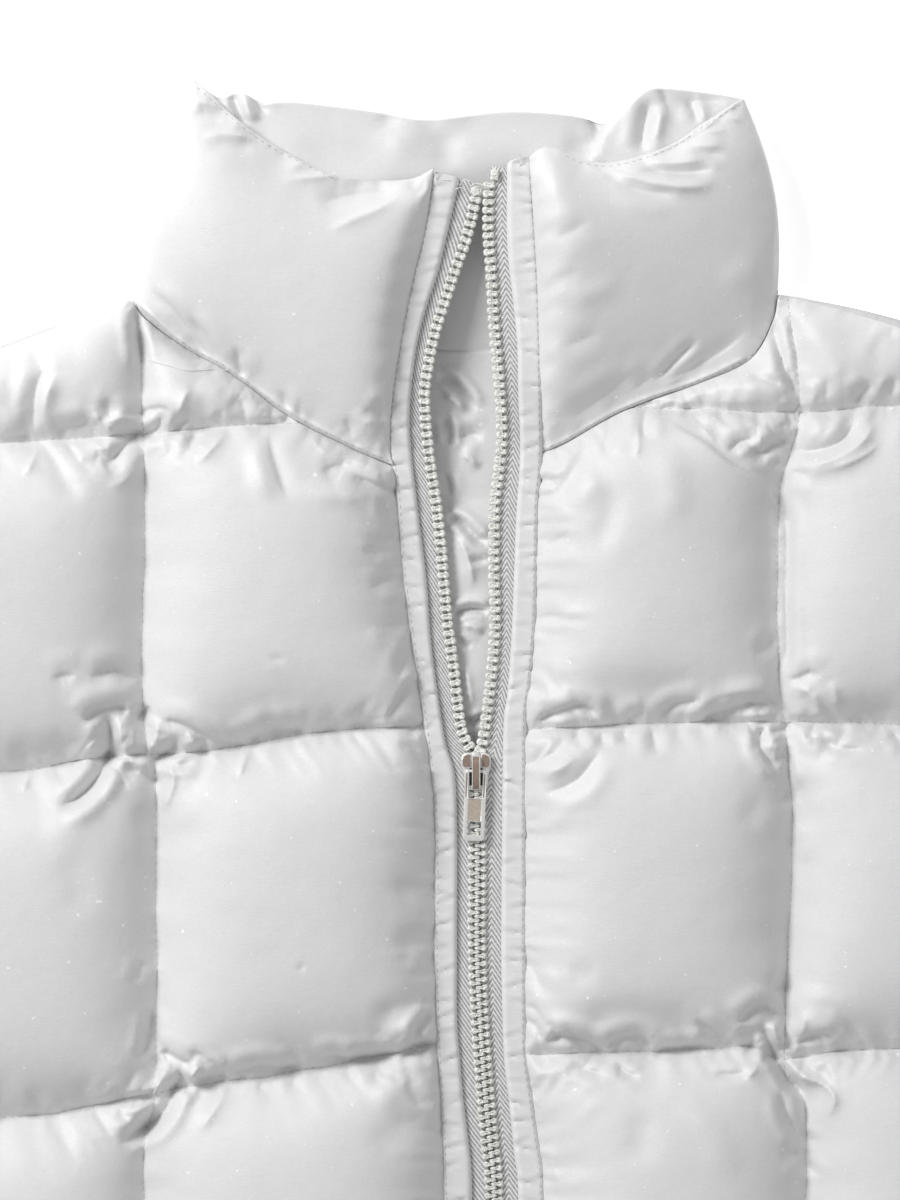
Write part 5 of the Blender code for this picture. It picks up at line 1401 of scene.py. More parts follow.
def crimp_collar(bm, necks, tops):
    """Creases and gathers of the collar's flaps and, between them, of its back's inside."""
    flap = from_picture(FLAP_CREASES)
    inside = from_picture(COLLAR_BACK_CREASES)
    places = closer_mesh(bm, flap + inside, necks)
    bm.normal_update()
    upward = np.clip(np.array([v.normal.z for v in bm.verts]) / 0.35, 0.0, 1.0)
    level = np.array([layer_height(x, y) for x, y, _ in places])
    outer = places[:, 2] > level + 0.3
    lift = np.where(outer, crease_lift(places, flap) + gather_lift(places, necks + tops, 37.0),
                    crease_lift(places, inside))
    for vert, rise, share, low, above in zip(bm.verts, lift, upward, level, outer):
        x, y, z = vert.co
        floor = low + 0.5 if above else 0.5
        if above:
            side = 1 if x > 0.0 else -1
            off = max(0.0, side * (x - STITCH_COURSE[side](y)))
            full = FLAP_FULL[side] * math.exp(-off / FLAP_NEAR[side])
            z = plumped(z, low + SEAM_WALL) - low
            z *= 1.0 + full
            if side > 0:
                down = min(1.0, max(0.0, (off + 0.9 * (LEAN_TOP_Y - y)) / LEAN_RUN))
                z *= (1.0 - RIGHT_LEAN * down) * (1.0 + RIGHT_FULL * ease((y - 250.0) / 70.0))
            z += low
        vert.co.z = max(z + rise * share, min(z, floor))


def collar():
    """One padded strip from zip to zip, folded round at both sides."""
    left = (rounded(LEFT_NECK, SEAM_PITCH), rounded(LEFT_COLLAR_TOP, SEAM_PITCH))
    right = (rounded(RIGHT_NECK, SEAM_PITCH), rounded(RIGHT_COLLAR_TOP, SEAM_PITCH))
    across = (rounded(BACK_NECK, SEAM_PITCH), rounded(BACK_COLLAR_TOP, SEAM_PITCH))
    shares = eased_steps(END_STEPS)
    rings = [end_section(-1, share, left) for share in shares]
    rings += [back_section(share, across) for share in eased_steps(BACK_STEPS)[1:-1]]
    rings += [end_section(1, share, right) for share in reversed(shares)]
    bm = bmesh.new()
    loops, _ = bridged(bm, rings)
    bm.verts.index_update()
    rise_count = RISE_STEPS + 1
    ends = range(1, END_STEPS - 1)
    free = set()
    for station in list(ends) + [len(loops) - 1 - s for s in ends]:
        for k in range(1, rise_count - 1):
            free.add(loops[station][k].index)
    held = [v.index for v in bm.verts if v.index not in free]
    inflate(bm, held, COLLAR_SPARE, COLLAR_PRESSURE)
    seams = [loop[k].index for loop in loops for k in (0, rise_count - 1)]
    bm = refined(bm, seams)
    crimp_collar(bm, [left[0], right[0]], [left[1], right[1]])
    rim = [e for e in bm.edges if e.is_boundary]
    caps = bmesh.ops.holes_fill(bm, edges=rim, sides=0)["faces"]
    bmesh.ops.triangulate(bm, faces=caps)
    bmesh.ops.recalc_face_normals(bm, faces=bm.faces)
    obj = show(bm, "padded_collar", SHELL, "collar")
    return obj


# ---------------------------------------------------------------- plain bands

HEM_CROWN = 7.0  # wall at the middle of the bottom band, above its seams
HEM_REACH = 22.0  # from its edges to that height
BAND_GATHER = 0.8
SIDE_SLOPE = 4.0  # the body is this much narrower at the hem's end


def padded_band(name, node, ring):
    """A plain band: a low roll with gathers that run in from its sewn edge."""
    bm = quilt_skin(ring, [])
    places = [(v.co.x, v.co.y) for v in bm.verts]
    to_edge = distance(places, [list(ring) + [ring[0]]])
    for vert, edge in zip(bm.verts, to_edge):
        x, y = vert.co.x, vert.co.y
        folds = BAND_GATHER * ripple(x / 7.0, y / 30.0, 61.0)
        folds += 0.6 * BAND_GATHER * ripple(x / 22.0, y / 22.0, 67.0)
        height = FRONT_BASE + SEAM_WALL + HEM_CROWN * dome(edge / HEM_REACH)
        vert.co.z = height + folds * ease(edge / 6.0)
    bm = refined(bm)
    close_below(bm, FRONT_BASE, False)
    obj = show(bm, name, SHELL, node)


def drawn_round(corners):
    """A closed outline with straight sides, in points one seam pitch apart."""
    ring = []
    for here, there in zip(corners, corners[1:] + corners[:1]):
        ring += rounded([here, there], SEAM_PITCH)[:-1]
    return ring


def hems():
    """The bottom band: two front pieces over a back piece, joined at the side seams."""
    low = HEM_END_Y
    top = HEM_SEAM_Y
    end_x = SIDE_HEM_X - SIDE_SLOPE
    for word, side, stitch in (("left", -1, LEFT_STITCH), ("right", 1, RIGHT_STITCH)):
        ring = drawn_round([(value_at(stitch, low), low), (value_at(stitch, top), top),
                            (side * SIDE_HEM_X, top), (side * end_x, low)])
        padded_band(f"hem_band_{word}", f"hem_{word}", ring)
    ring = drawn_round([(SIDE_HEM_X, top), (end_x, low), (-end_x, low), (-SIDE_HEM_X, top)])
    flat_layer("hem_band_back", "hem_back", ring)


def flat_layer(name, node, ring, relief=()):
    """A layer that lies under the rest: plain above and flat below."""
    bm = quilt_skin(ring, [], in_zip_gap, FLAT_PITCH)
    for vert in bm.verts:
        vert.co.z = BACK_TOP
    bm = refined(bm)
    crimp(bm, from_picture(relief), [], 0.0, 91.0)
    close_below(bm, 0.0, True)
    obj = show(bm, name, SHELL, node)


def bowed(line, rise):
    """A line bent upwards between its two ends."""
    last = len(line) - 1
    return [(x, y + rise * math.sin(math.pi * k / last)) for k, (x, y) in enumerate(line)]


def back():
    """The back, whose inside shows as the lining in the open zip."""
    left_line = bowed(rounded(LEFT_SHOULDER, SEAM_PITCH), 0.4 * BACK_SHOULDER_RISE)
    right_line = bowed(rounded(RIGHT_SHOULDER, SEAM_PITCH), BACK_SHOULDER_RISE)
    neck = rounded(BACK_NECK, SEAM_PITCH)[1:-1]
    down_left = armhole(-1, LEFT_SHOULDER)[1:] + side_and_hem(-1)[1:]
    down_right = armhole(1, RIGHT_SHOULDER)[1:] + side_and_hem(1)[1:]
    hem = rounded([down_left[-1], down_right[-1]], SEAM_PITCH)[1:-1]
    ring = left_line[::-1] + neck + right_line + down_right + hem[::-1] + down_left[::-1]
    flat_layer("lined_back", "back", ring, LINING_CREASES)


CUFF_AROUND = 56  # points round the cuff
CUFF_STEPS = 14  # rings along it
CUFF_WALL = 2.5
CUFF_RISE = 8.0  # of its upper side above its middle


def cuff(side):
    """A plain band round the end of a sleeve, open at its end."""
    start = (SLEEVE_OUTER_END + SLEEVE_INNER_END) / 2 + SLEEVE_DOWN * GAP
    middle = BACK_TOP - 1.5
    rings = []
    for k in range(CUFF_STEPS + 1):
        share = k / CUFF_STEPS
        ring = []
        puff = 3.2 * math.sin(math.pi * share) ** 0.6
        for n in range(CUFF_AROUND):
            turn = 2 * math.pi * n / CUFF_AROUND
            flat = math.copysign(abs(math.cos(turn)) ** 0.75, math.cos(turn))
            spread = (CUFF_WIDE / 2 - 1.0) * flat
            tall = math.sin(turn)
            gather = 0.7 * ripple(n / 1.7, share * 1.6, 71.0) * (0.4 + 0.6 * (1 - share))
            reach = middle if tall < 0 else CUFF_RISE + puff
            height = middle + reach * math.copysign(abs(tall) ** 0.5, tall)
            if tall > 0.2:
                height += gather
            point = start + SLEEVE_IN * spread + SLEEVE_DOWN * CUFF_LONG * share
            ring.append((side * point[0], point[1], max(height, 0.0)))
        rings.append(ring)
    bm = bmesh.new()
    bridged(bm, rings)
    bmesh.ops.recalc_face_normals(bm, faces=bm.faces)
    bm.normal_update()
    if sum(f.normal.z for f in bm.faces if f.calc_center_median().z > 16.0) < 0.0:
        bmesh.ops.reverse_faces(bm, faces=bm.faces)
    bmesh.ops.solidify(bm, geom=list(bm.faces), thickness=CUFF_WALL)
    bm = refined(bm)
    word = "left" if side < 0 else "right"
    obj = show(bm, f"cuff_band_{word}", SHELL, f"cuff_{word}")


# ---------------------------------------------------------------- zip

CLOSED_PITCH = 2.84
OPEN_PITCH = 3.0
STRIP_STEPS = 620  # steps along a tape or a band
TOOTH_LONG = 4.4
# a tooth from its foot to its dimple: share of its plan, height in mm
TOOTH_PROFILE = ((1.0, -0.6), (1.02, 0.8), (0.84, 1.35), (0.6, 1.5), (0.3, 1.05))
BAND_OVERLAP = 0.9  # how far a band runs over the front's edge
BAND_STITCH_INSET = 0.4  # the stitches lie this far inside the band's seam
CHAIN_OFFSET = 1.25  # a closed tooth's middle from the middle of the chain
TEETH_TOPS = {-1: 320.0, 1: 322.5}
BAND_TOPS = {-1: 325.4, 1: 331.2}
TAPE_TOPS = {-1: 324.0, 1: 327.4}
TAPE_SLANTS = {-1: -0.28, 1: 0.1}  # how much a tape's top drops across it
TOP_STOPS = {-1: [((475.5, 191.0), 0.3)], 1: [((494.5, 175.5), -0.06)]}


def zip_lift(y):
    """The zip climbs with the collar's layers."""
    return COLLAR_RISE * ease((y - 222.0) / 35.0)


def woven_strip(name, node, edge_a, edge_b, base, thick, material, top_y, pucker=0.0,
                seed=0.0, round_top=0.0, width=10.0, slant=0.0):
    """A strip of cloth down the zip, with its weave's own map: across and along, in metres."""
    across = 12
    low_y = HEM_END_Y + 2.0
    stops = [low_y + (top_y - low_y) * k / STRIP_STEPS for k in range(STRIP_STEPS + 1)]
    dice = np.random.default_rng(int(seed) + 200)
    places_of_folds = np.cumsum(dice.uniform(3.0, 11.0, 110)) + low_y
    folds = [(y, dice.uniform(-0.35, 0.35), dice.uniform(0.5, 1.0), dice.uniform(0.0, 1.0))
             for y in places_of_folds if y < top_y]
    fold_ys, fold_leans, fold_depths, fold_starts = np.array(folds).T
    bm = bmesh.new()
    weave = bm.loops.layers.uv.new("weave")
    rings = []
    for y in stops:
        a, b = edge_a(y), edge_b(y)
        if round_top:
            short = max(0.0, (y - (top_y - round_top)) / round_top)
            b -= (b - a) * 0.55 * (1.0 - math.sqrt(max(0.0, 1.0 - short * short)))
        low = base + zip_lift(y)
        ring = []
        for k in range(across + 1):
            share = k / across
            x = a + (b - a) * share
            round_off = 1.0 - (1.0 - min(1.0, 6.0 * share, 6.0 * (1.0 - share))) ** 2
            wave = 0.5 * ripple((y + 1.2 * x) / 6.0, x / 14.0, seed)
            if pucker:
                off = y + fold_leans * (b - a) * share - fold_ys
                within = np.clip(1.4 - 2.2 * np.abs(share - fold_starts), 0.0, 1.0)
                wave -= float(np.sum(fold_depths * within * np.exp(-(off / 0.75) ** 2)))
                wave += 0.5 * float(np.sum(fold_depths * within * np.exp(-((off - 1.7) / 1.2) ** 2)))
            z = low + thick * (0.35 + 0.65 * round_off) + pucker * wave
            drop = slant * abs(b - a) * (share - 0.5) * max(0.0, 1.0 - (top_y - y) / 12.0)
            ring.append((x, y + drop, max(z, low + 0.25)))
        rings.append(ring + [(b, ring[-1][1], low), (a, ring[0][1], low)])
    loops, _ = bridged(bm, rings)
    shares = [k / across for k in range(across + 1)] + [1.0, 0.0]
    places = {vert: (share * width, y)
              for y, loop in zip(stops, loops) for share, vert in zip(shares, loop)}
    for ends in (loops[0], loops[-1]):
        bm.faces.new(ends)
    bmesh.ops.recalc_face_normals(bm, faces=bm.faces)
    for face in bm.faces:
        for loop in face.loops:
            u, v = places[loop.vert]
            loop[weave].uv = (u * MM, v * MM)
    obj = show(bm, name, material, node)
    obj.data.set_sharp_from_angle(angle=math.radians(50.0))
    return obj


def tooth_shape(name, head, body):
    """One moulded tooth, lying along +X with its head there: a dimpled bean this tall in plan."""
    outline = ((0.5, 0.0), (0.47, 0.27 * head), (0.35, 0.46 * head), (0.19, 0.5 * head),
               (0.03, 0.4 * min(head, body)), (-0.16, 0.44 * body), (-0.33, 0.47 * body),
               (-0.46, 0.3 * body), (-0.5, 0.0))
    points = [(x * TOOTH_LONG, y) for x, y in outline]
    points += [(x, -y) for x, y in points[-2:0:-1]]
    bm = bmesh.new()
    rings, _ = bridged(bm, [[(x * spread, y * spread, height) for x, y in points]
                            for spread, height in TOOTH_PROFILE])
    bm.faces.new(rings[-1])
    bm.faces.new(rings[0][::-1])
    bmesh.ops.recalc_face_normals(bm, faces=bm.faces)
    return mesh_from(bm, name)


def stop_shape():
    """The block that stops the slider at the top of a row."""
    bm = bmesh.new()
    bmesh.ops.create_cube(bm, size=1.0)
    bmesh.ops.scale(bm, vec=(2.9, 3.8, 2.2), verts=bm.verts)
    bmesh.ops.bevel(bm, geom=list(bm.edges), offset=0.5, segments=2, profile=0.6,
                    affect="EDGES")
    return mesh_from(bm, "top stop")


def teeth_row(side, centre, top_y):
    """Places of a row's closed teeth, from the hem, and of its open ones, to the top."""
    middle_closed = SLIDER_TOP_Y - SLIDER_LONG - 1.0
    y = HEM_END_Y + 8.0 + (CLOSED_PITCH / 2 if side > 0 else 0.0)
    closed, opened = [], []
    dice = np.random.default_rng(70 + side)
    while y < top_y:
        open_share = ease((y - middle_closed) / 12.0)
        slope = (centre(y + 1.5) - centre(y - 1.5)) / 3.0
        x = centre(y) + side * CHAIN_OFFSET * (1.0 - open_share)
        turn = -math.atan(slope)
        if side > 0:
            turn += math.pi
        high = TAPE_BASE + TAPE_THICK + zip_lift(y) + 0.25
        if open_share > 0.5:
            opened.append((x, y, high, turn + dice.uniform(-0.12, 0.12), dice.uniform(-0.1, 0.1)))
        else:
            closed.append((x, y, high, turn))
        pitch = CLOSED_PITCH + (OPEN_PITCH - CLOSED_PITCH) * open_share
        y += pitch * math.cos(math.atan(slope))
    return closed, opened


def copies(name, sets, material):
    """Many copies of small shapes, joined; a set is a shape and its places: x, y, z, turn, tilt."""
    verts = []
    polygons = []
    for shape, places in sets:
        source = np.array([v.co for v in shape.vertices])
        faces = [list(p.vertices) for p in shape.polygons]
        for x, y, z, turn, *more in places:
            tilt = more[0] if more else 0.0
            c, s = math.cos(turn), math.sin(turn)
            first = len(verts)
            for px, py, pz in source:
                lx = px * math.cos(tilt) - pz * math.sin(tilt)
                lz = px * math.sin(tilt) + pz * math.cos(tilt)
                verts.append((x + c * lx - s * py, y + s * lx + c * py, z + lz))
            polygons += [[first + k for k in face] for face in faces]
    mesh = bpy.data.meshes.new(name)
    mesh.from_pydata([(x * MM, y * MM, z * MM) for x, y, z in verts], [], polygons)
    placed(name, mesh, material)


def zip_parts():
    """Tapes, facing bands, teeth and top stops of both sides; gives back the bands."""
    rows = ((-1, "left", LEFT_TAPE, LEFT_TEETH), (1, "right", RIGHT_TAPE, RIGHT_TEETH))
    closed_tooth = tooth_shape("closed tooth", 1.42, 2.2)
    open_tooth = tooth_shape("open tooth", 2.75, 2.3)
    stop = stop_shape()
    bands = []
    for side, word, tape, teeth in rows:
        stitch_at, tape_at, teeth_at = STITCH_COURSE[side], smooth_edge(tape), smooth_edge(teeth)
        strip = woven_strip(f"woven_tape_{word}", f"zip_tape_{word}",
                            lambda y: stitch_at(y) - side * 2 * GAP,
                            lambda y: teeth_at(y) + side * CHAIN_GAP, TAPE_BASE, TAPE_THICK,
                            TAPES[side], TAPE_TOPS[side], width=15.0,
                            slant=TAPE_SLANTS[side])
        band = woven_strip(f"facing_band_{word}", f"band_{word}",
                           lambda y: stitch_at(y) + side * BAND_OVERLAP, tape_at,
                           TAPE_BASE + TAPE_THICK + CHAIN_GAP, BAND_THICK, SHELL,
                           BAND_TOPS[side], pucker=0.85, seed=80.0 + side,
                           round_top=3.0)
        closed, opened = teeth_row(side, teeth_at, TEETH_TOPS[side])
        stops = [(*seen(*spot), TAPE_BASE + TAPE_THICK + zip_lift(320.0) + 0.9, turn)
                 for spot, turn in TOP_STOPS[side]]
        copies(f"zip_teeth_{word}", [(closed_tooth, closed), (open_tooth, opened), (stop, stops)],
               TOOTH)
        bands.append(band)
    return bands


# ---------------------------------------------------------------- slider and pull tab

TAB_LEAN = math.radians(2.4)  # the tab hangs slightly off straight


def rounded_plate(bm, outline, low, high, edge, rim=0.0, sunk=0.0):
    """A plate with softened edges and, where it has a rim, a sunk face of the second finish."""
    face = bm.faces.new([bm.verts.new((x, y, low)) for x, y in outline])
    raised = bmesh.ops.extrude_face_region(bm, geom=[face])["geom"]
    tops = [g for g in raised if isinstance(g, bmesh.types.BMVert)]
    bmesh.ops.translate(bm, vec=(0.0, 0.0, high - low), verts=tops)
    edges = list({e for v in tops for e in v.link_edges if set(e.verts) <= set(tops)})
    bmesh.ops.bevel(bm, geom=edges, offset=edge, segments=2, profile=0.5, affect="EDGES",
                    material=-1)
    if rim:
        level = [f for f in bm.faces if f.is_valid and len(f.verts) == len(outline)
                 and abs(f.calc_center_median().z - high) < 1e-4]
        inner = level[-1]
        bmesh.ops.inset_region(bm, faces=[inner], thickness=rim, use_even_offset=True)
        inner.material_index = 1
        bmesh.ops.inset_region(bm, faces=[inner], thickness=0.08, depth=-sunk,
                               use_even_offset=True)
        inner.material_index = 1


def shield(wide, end_wide, top_y, low_y):
    """Outline of a slider plate: wide where the chain opens, narrow where it closes."""
    half, end = wide / 2, end_wide / 2
    right = [(0.2 * half, top_y - 0.1), (0.55 * half, top_y), (0.85 * half, top_y - 0.6),
             (0.98 * half, top_y - 1.7), (half, top_y - 3.2), (0.99 * half, top_y - 5.0),
             (0.86 * half, top_y - 6.4), (end + 0.5, low_y + 2.4), (end, low_y + 0.6),
             (end - 0.5, low_y)]
    left = [(-x, y) for x, y in reversed(right)]
    return [(SLIDER_X + x, y) for x, y in right + left]


def cheek(side):
    """Sunk face on one shoulder of the slider."""
    half = SLIDER_WIDE / 2
    outline = [(1.75, SLIDER_TOP_Y - 0.6), (0.55 * half, SLIDER_TOP_Y - 0.3),
               (0.86 * half, SLIDER_TOP_Y - 1.1), (0.97 * half, SLIDER_TOP_Y - 2.7),
               (0.96 * half, SLIDER_TOP_Y - 4.8), (0.8 * half, SLIDER_TOP_Y - 5.7),
               (1.75, SLIDER_TOP_Y - 5.5)]
    return [(SLIDER_X + side * x, y) for x, y in outline]


def block(half_low, half_top, low_y, top_y):
    """Four corners in the slider's plan: half widths at two places below its top."""
    return [(SLIDER_X + x, SLIDER_TOP_Y + y)
            for x, y in ((-half_low, low_y), (half_low, low_y), (half_top, top_y), (-half_top, top_y))]


def finished(bm, name, finishes, body, node):
    """A hard piece with several finishes and crisp edges."""
    bmesh.ops.recalc_face_normals(bm, faces=bm.faces)
    obj = show(bm, name, finishes[0], node, body)
    for finish in finishes[1:]:
        obj.data.materials.append(finish)
    obj.data.set_sharp_from_angle(angle=math.radians(40.0))


def zip_slider():
    """The slider: two plates on a post, lips round the tapes, sunk cheeks, the bail, and a near-black
    patch of painted shade under the bail.
    """
    low_y = SLIDER_TOP_Y - SLIDER_LONG
    top = THROAT[1] + PLATE_THICK
    outline = shield(SLIDER_WIDE, SLIDER_END_WIDE, SLIDER_TOP_Y, low_y)
    bm = bmesh.new()
    rounded_plate(bm, outline, THROAT[1], top, edge=0.3)
    rounded_plate(bm, outline, THROAT[0] - PLATE_THICK, THROAT[0], edge=0.1)
    for side in (-1, 1):
        ring = cheek(side)
        if side < 0:
            ring = ring[::-1]
        rounded_plate(bm, ring, top - 0.2, top + 0.45, edge=0.1, rim=0.26, sunk=0.4)
        lip = [(SLIDER_X + side * x, y) for x, y in ((SLIDER_END_WIDE / 2 - 0.7, low_y + 0.5),
                                                      (SLIDER_END_WIDE / 2, low_y + 0.7),
                                                      (SLIDER_END_WIDE / 2 + 0.3, low_y + 4.5),
                                                      (SLIDER_END_WIDE / 2 - 0.4, low_y + 4.5))]
        rounded_plate(bm, lip if side > 0 else lip[::-1], THROAT[1] - 0.9, THROAT[1] + 0.2,
                      edge=0.08)
    post = block(0.9, 0.9, -2.6, -0.2)
    rounded_plate(bm, post, THROAT[0] - 0.5, THROAT[1] + 0.5, edge=0.1)
    nose = block(1.5, 1.1, -2.2, 0.1)
    rounded_plate(bm, nose, top - 0.2, top + 0.8, edge=0.35)
    # a near-black plate between the bail's feet: painted shade standing for the deep hollow under the
    # bail
    before = set(bm.faces)
    shade_patch = block(2.4, 2.4, -11.9, -5.6)
    rounded_plate(bm, shade_patch, top - 0.3, top + 0.04, edge=0.03)
    for face in set(bm.faces) - before:
        face.material_index = 2
    bail(bm, top)
    finished(bm, "zip_slider", (METAL, BRONZE, PAINTED_HOLLOW_SHADE), "jacket", "slider")


BAIL_STEPS = 22


def bail(bm, top):
    """The arched strap over the slider: a swept bar with a sunk upper face."""
    y0, y1 = BAIL_SPAN
    middle = (y0 + y1) / 2
    half = BAIL_WIDE / 2
    rings = []
    for k in range(BAIL_STEPS + 1):
        turn = math.pi * k / BAIL_STEPS
        reach = math.copysign(abs(math.cos(turn)) ** 0.55, math.cos(turn))
        y = middle - (y1 - y0) / 2 * reach
        rise = abs(math.sin(turn)) ** 0.6
        outer = top - 0.3 + (BAIL_CLEAR + BAIL_BAR + 0.3) * rise
        inner_y = middle + (y - middle) * (1.0 - 2 * BAIL_BAR / (y1 - y0))
        inner = top - 0.3 + (BAIL_CLEAR + 0.3) * rise
        rings.append([(SLIDER_X - half, inner_y, inner), (SLIDER_X - half, y, outer - 0.15),
                      (SLIDER_X - half + 0.12, y, outer), (SLIDER_X - half + 0.3, y, outer),
                      (SLIDER_X - half + 0.38, y, outer - 0.22),
                      (SLIDER_X + half - 0.38, y, outer - 0.22),
                      (SLIDER_X + half - 0.3, y, outer), (SLIDER_X + half - 0.12, y, outer),
                      (SLIDER_X + half, y, outer - 0.15), (SLIDER_X + half, inner_y, inner)])
    loops, rows = bridged(bm, rings)
    for row in rows:
        row[4].material_index = 1  # the sunk upper face
    for ends in (loops[0], loops[-1]):
        bm.faces.new(ends)


def tab_grid(bm, columns, rows, holes, low, high):
    """A flat frame: a grid of cells with some left open, raised and softened."""
    bmesh.ops.create_grid(bm, x_segments=len(columns) - 1, y_segments=len(rows) - 1, size=1.0)
    xs = sorted({round(v.co.x, 4) for v in bm.verts})
    ys = sorted({round(v.co.y, 4) for v in bm.verts})
    for vert in bm.verts:
        vert.co.x, vert.co.y, vert.co.z = (columns[xs.index(round(vert.co.x, 4))],
                                           rows[ys.index(round(vert.co.y, 4))], high)
    gone = []
    for face in bm.faces:
        middle = face.calc_center_median()
        for x0, x1, y0, y1 in holes:
            if x0 < middle.x < x1 and y0 < middle.y < y1:
                gone.append(face)
    bmesh.ops.delete(bm, geom=gone, context="FACES")
    lone = [v for v in bm.verts if not v.link_faces]
    bmesh.ops.delete(bm, geom=lone, context="VERTS")
    bmesh.ops.solidify(bm, geom=list(bm.faces), thickness=high - low)


def zip_pull_tab():
    """The pull tab: two rails, a sunk plate and a lower window; its bar sits in the bail."""
    pivot_z = THROAT[1] + PLATE_THICK + BAIL_CLEAR / 2
    half_bar = TAB_THICK / 2
    low_y = half_bar - TAB_LONG
    half = TAB_WIDE / 2
    hole = TAB_HOLE_WIDE / 2
    plate_top = -half_bar - TAB_HOLE_LONG
    window_low = low_y + TAB_WINDOW[1]
    window_top = window_low + TAB_WINDOW[2]
    bm = bmesh.new()
    columns = [-half, -hole, hole, half]
    rows = [low_y, window_low, window_top, plate_top, -half_bar, half_bar]
    holes = [(-hole, hole, window_low, window_top), (-hole, hole, plate_top, -half_bar)]
    tab_grid(bm, columns, rows, holes, -half_bar, half_bar)
    bmesh.ops.recalc_face_normals(bm, faces=bm.faces)
    corners = [e for e in bm.edges if abs(e.verts[0].co.z - e.verts[1].co.z) > 0.5
               and abs(abs(e.verts[0].co.x) - half) < 1e-3
               and min(abs(e.verts[0].co.y - low_y), abs(e.verts[0].co.y - half_bar)) < 1e-3]
    bmesh.ops.bevel(bm, geom=corners, offset=1.3, segments=4, profile=0.5, affect="EDGES",
                    material=-1)
    tops = [f for f in bm.faces if f.normal.z > 0.9]
    plate_face = [f for f in tops if abs(f.calc_center_median().x) < 0.5
                  and window_top < f.calc_center_median().y < plate_top]
    rails = [f for f in tops if abs(f.calc_center_median().x) > hole
             and plate_top < f.calc_center_median().y < -half_bar]
    for faces, inset, finish in ((plate_face, 0.12, 2), (rails, 0.4, 1)):
        for face in faces:
            bmesh.ops.inset_region(bm, faces=[face], thickness=inset, use_even_offset=True)
            bmesh.ops.inset_region(bm, faces=[face], thickness=0.08, depth=-0.22,
                                   use_even_offset=True)
            face.material_index = finish
    sharp = [e for e in bm.edges if len(e.link_faces) == 2 and e.calc_face_angle() > 1.2
             and max(v.co.z for v in e.verts) > half_bar - 0.01
             and min(v.co.z for v in e.verts) > half_bar - 0.01]
    bmesh.ops.bevel(bm, geom=sharp, offset=0.16, segments=2, profile=0.5, affect="EDGES",
                    material=-1)
    bmesh.ops.rotate(bm, verts=bm.verts, cent=(0.0, 0.0, 0.0),
                     matrix=Matrix.Rotation(-TAB_LEAN, 3, "Z"))
    bmesh.ops.translate(bm, verts=bm.verts, vec=(SLIDER_X, TAB_PIVOT_Y, pivot_z))
    finished(bm, "zip_pull_tab", (METAL, BRONZE, TAN), "tab", "pull_tab")


# ---------------------------------------------------------------- stitches and threads

STITCH_PITCH = 2.75
STITCH_LONG = 2.0
STITCH_THICK = 0.42
STITCH_SINK = 0.05  # a stitch's middle lies this far under the cloth's surface
LINT_RADIUS = 0.17
LINT_LIFT = 0.15  # a loose thread's middle above the cloth


def surface_of(*objects):
    """A way to find the top of some finished pieces under a place: height and slope."""
    trees = []
    graph = bpy.context.evaluated_depsgraph_get()
    for obj in objects:
        trees.append(BVHTree.FromObject(obj, graph))

    def top(x, y):
        best = None
        for tree in trees:
            hit, normal, _, _ = tree.ray_cast(Vector((x * MM, y * MM, 0.2)), Vector((0, 0, -1)))
            if hit is not None and (best is None or hit.z / MM > best[0]):
                best = (hit.z / MM, normal)
        return best
    return top


def stitch_shape():
    """One stitch, lying along +X."""
    bm = bmesh.new()
    bmesh.ops.create_icosphere(bm, subdivisions=1, radius=1.0)
    bmesh.ops.scale(bm, vec=(STITCH_LONG / 2, STITCH_THICK / 2, STITCH_THICK / 2), verts=bm.verts)
    return mesh_from(bm, "one stitch")


def stitches_along(line, top):
    """Places of stitches down a line, lying on a surface."""
    dense = finely(line, 0.25)
    places = []
    run = 0.0
    last = dense[0]
    wanted = STITCH_PITCH / 2
    for point in dense[1:]:
        run += math.dist(last, point)
        if run >= wanted:
            wanted += STITCH_PITCH
            turn = math.atan2(point[1] - last[1], point[0] - last[0])
            ahead = (math.cos(turn) * STITCH_LONG / 2, math.sin(turn) * STITCH_LONG / 2)
            here = top(*point)
            front_end = top(point[0] + ahead[0], point[1] + ahead[1])
            back_end = top(point[0] - ahead[0], point[1] - ahead[1])
            if here and front_end and back_end:
                tilt = math.atan2(front_end[0] - back_end[0], STITCH_LONG)
                tilt = max(-0.7, min(0.7, tilt))
                places.append((point[0], point[1], here[0] - STITCH_SINK, turn, tilt))
        last = point
    return places


def loose_threads(name, lines):
    """Thin ends of thread, each a line of places and heights."""
    curve = bpy.data.curves.new(name, "CURVE")
    curve.dimensions = "3D"
    curve.bevel_depth = LINT_RADIUS * MM
    curve.bevel_resolution = 1
    curve.use_fill_caps = True
    for line in lines:
        spline = curve.splines.new("POLY")
        spline.points.add(len(line) - 1)
        for target, (x, y, z) in zip(spline.points, line):
            target.co = (x * MM, y * MM, z * MM, 1.0)
    mesh = settled(linked(name, curve))
    mesh.name = name
    mesh.materials.clear()
    placed(name, mesh, LINT)


def resting(points, top):
    """A smooth line through places in the picture, laid on a surface."""
    line = rounded(seen_all(points), 1.2)
    high = FRONT_BASE + SEAM_WALL
    laid = []
    for x, y in line:
        found = top(x, y)
        if found:
            high = found[0]
        laid.append((x, y, high + LINT_LIFT))
    return laid


def standing(points, low, high):
    """A smooth line through places in the picture that climbs from one height to another."""
    line = rounded(seen_all(points), 0.8)
    return [(x, y, low + (high - low) * k / (len(line) - 1)) for k, (x, y) in enumerate(line)]


# ---------------------------------------------------------------- make it

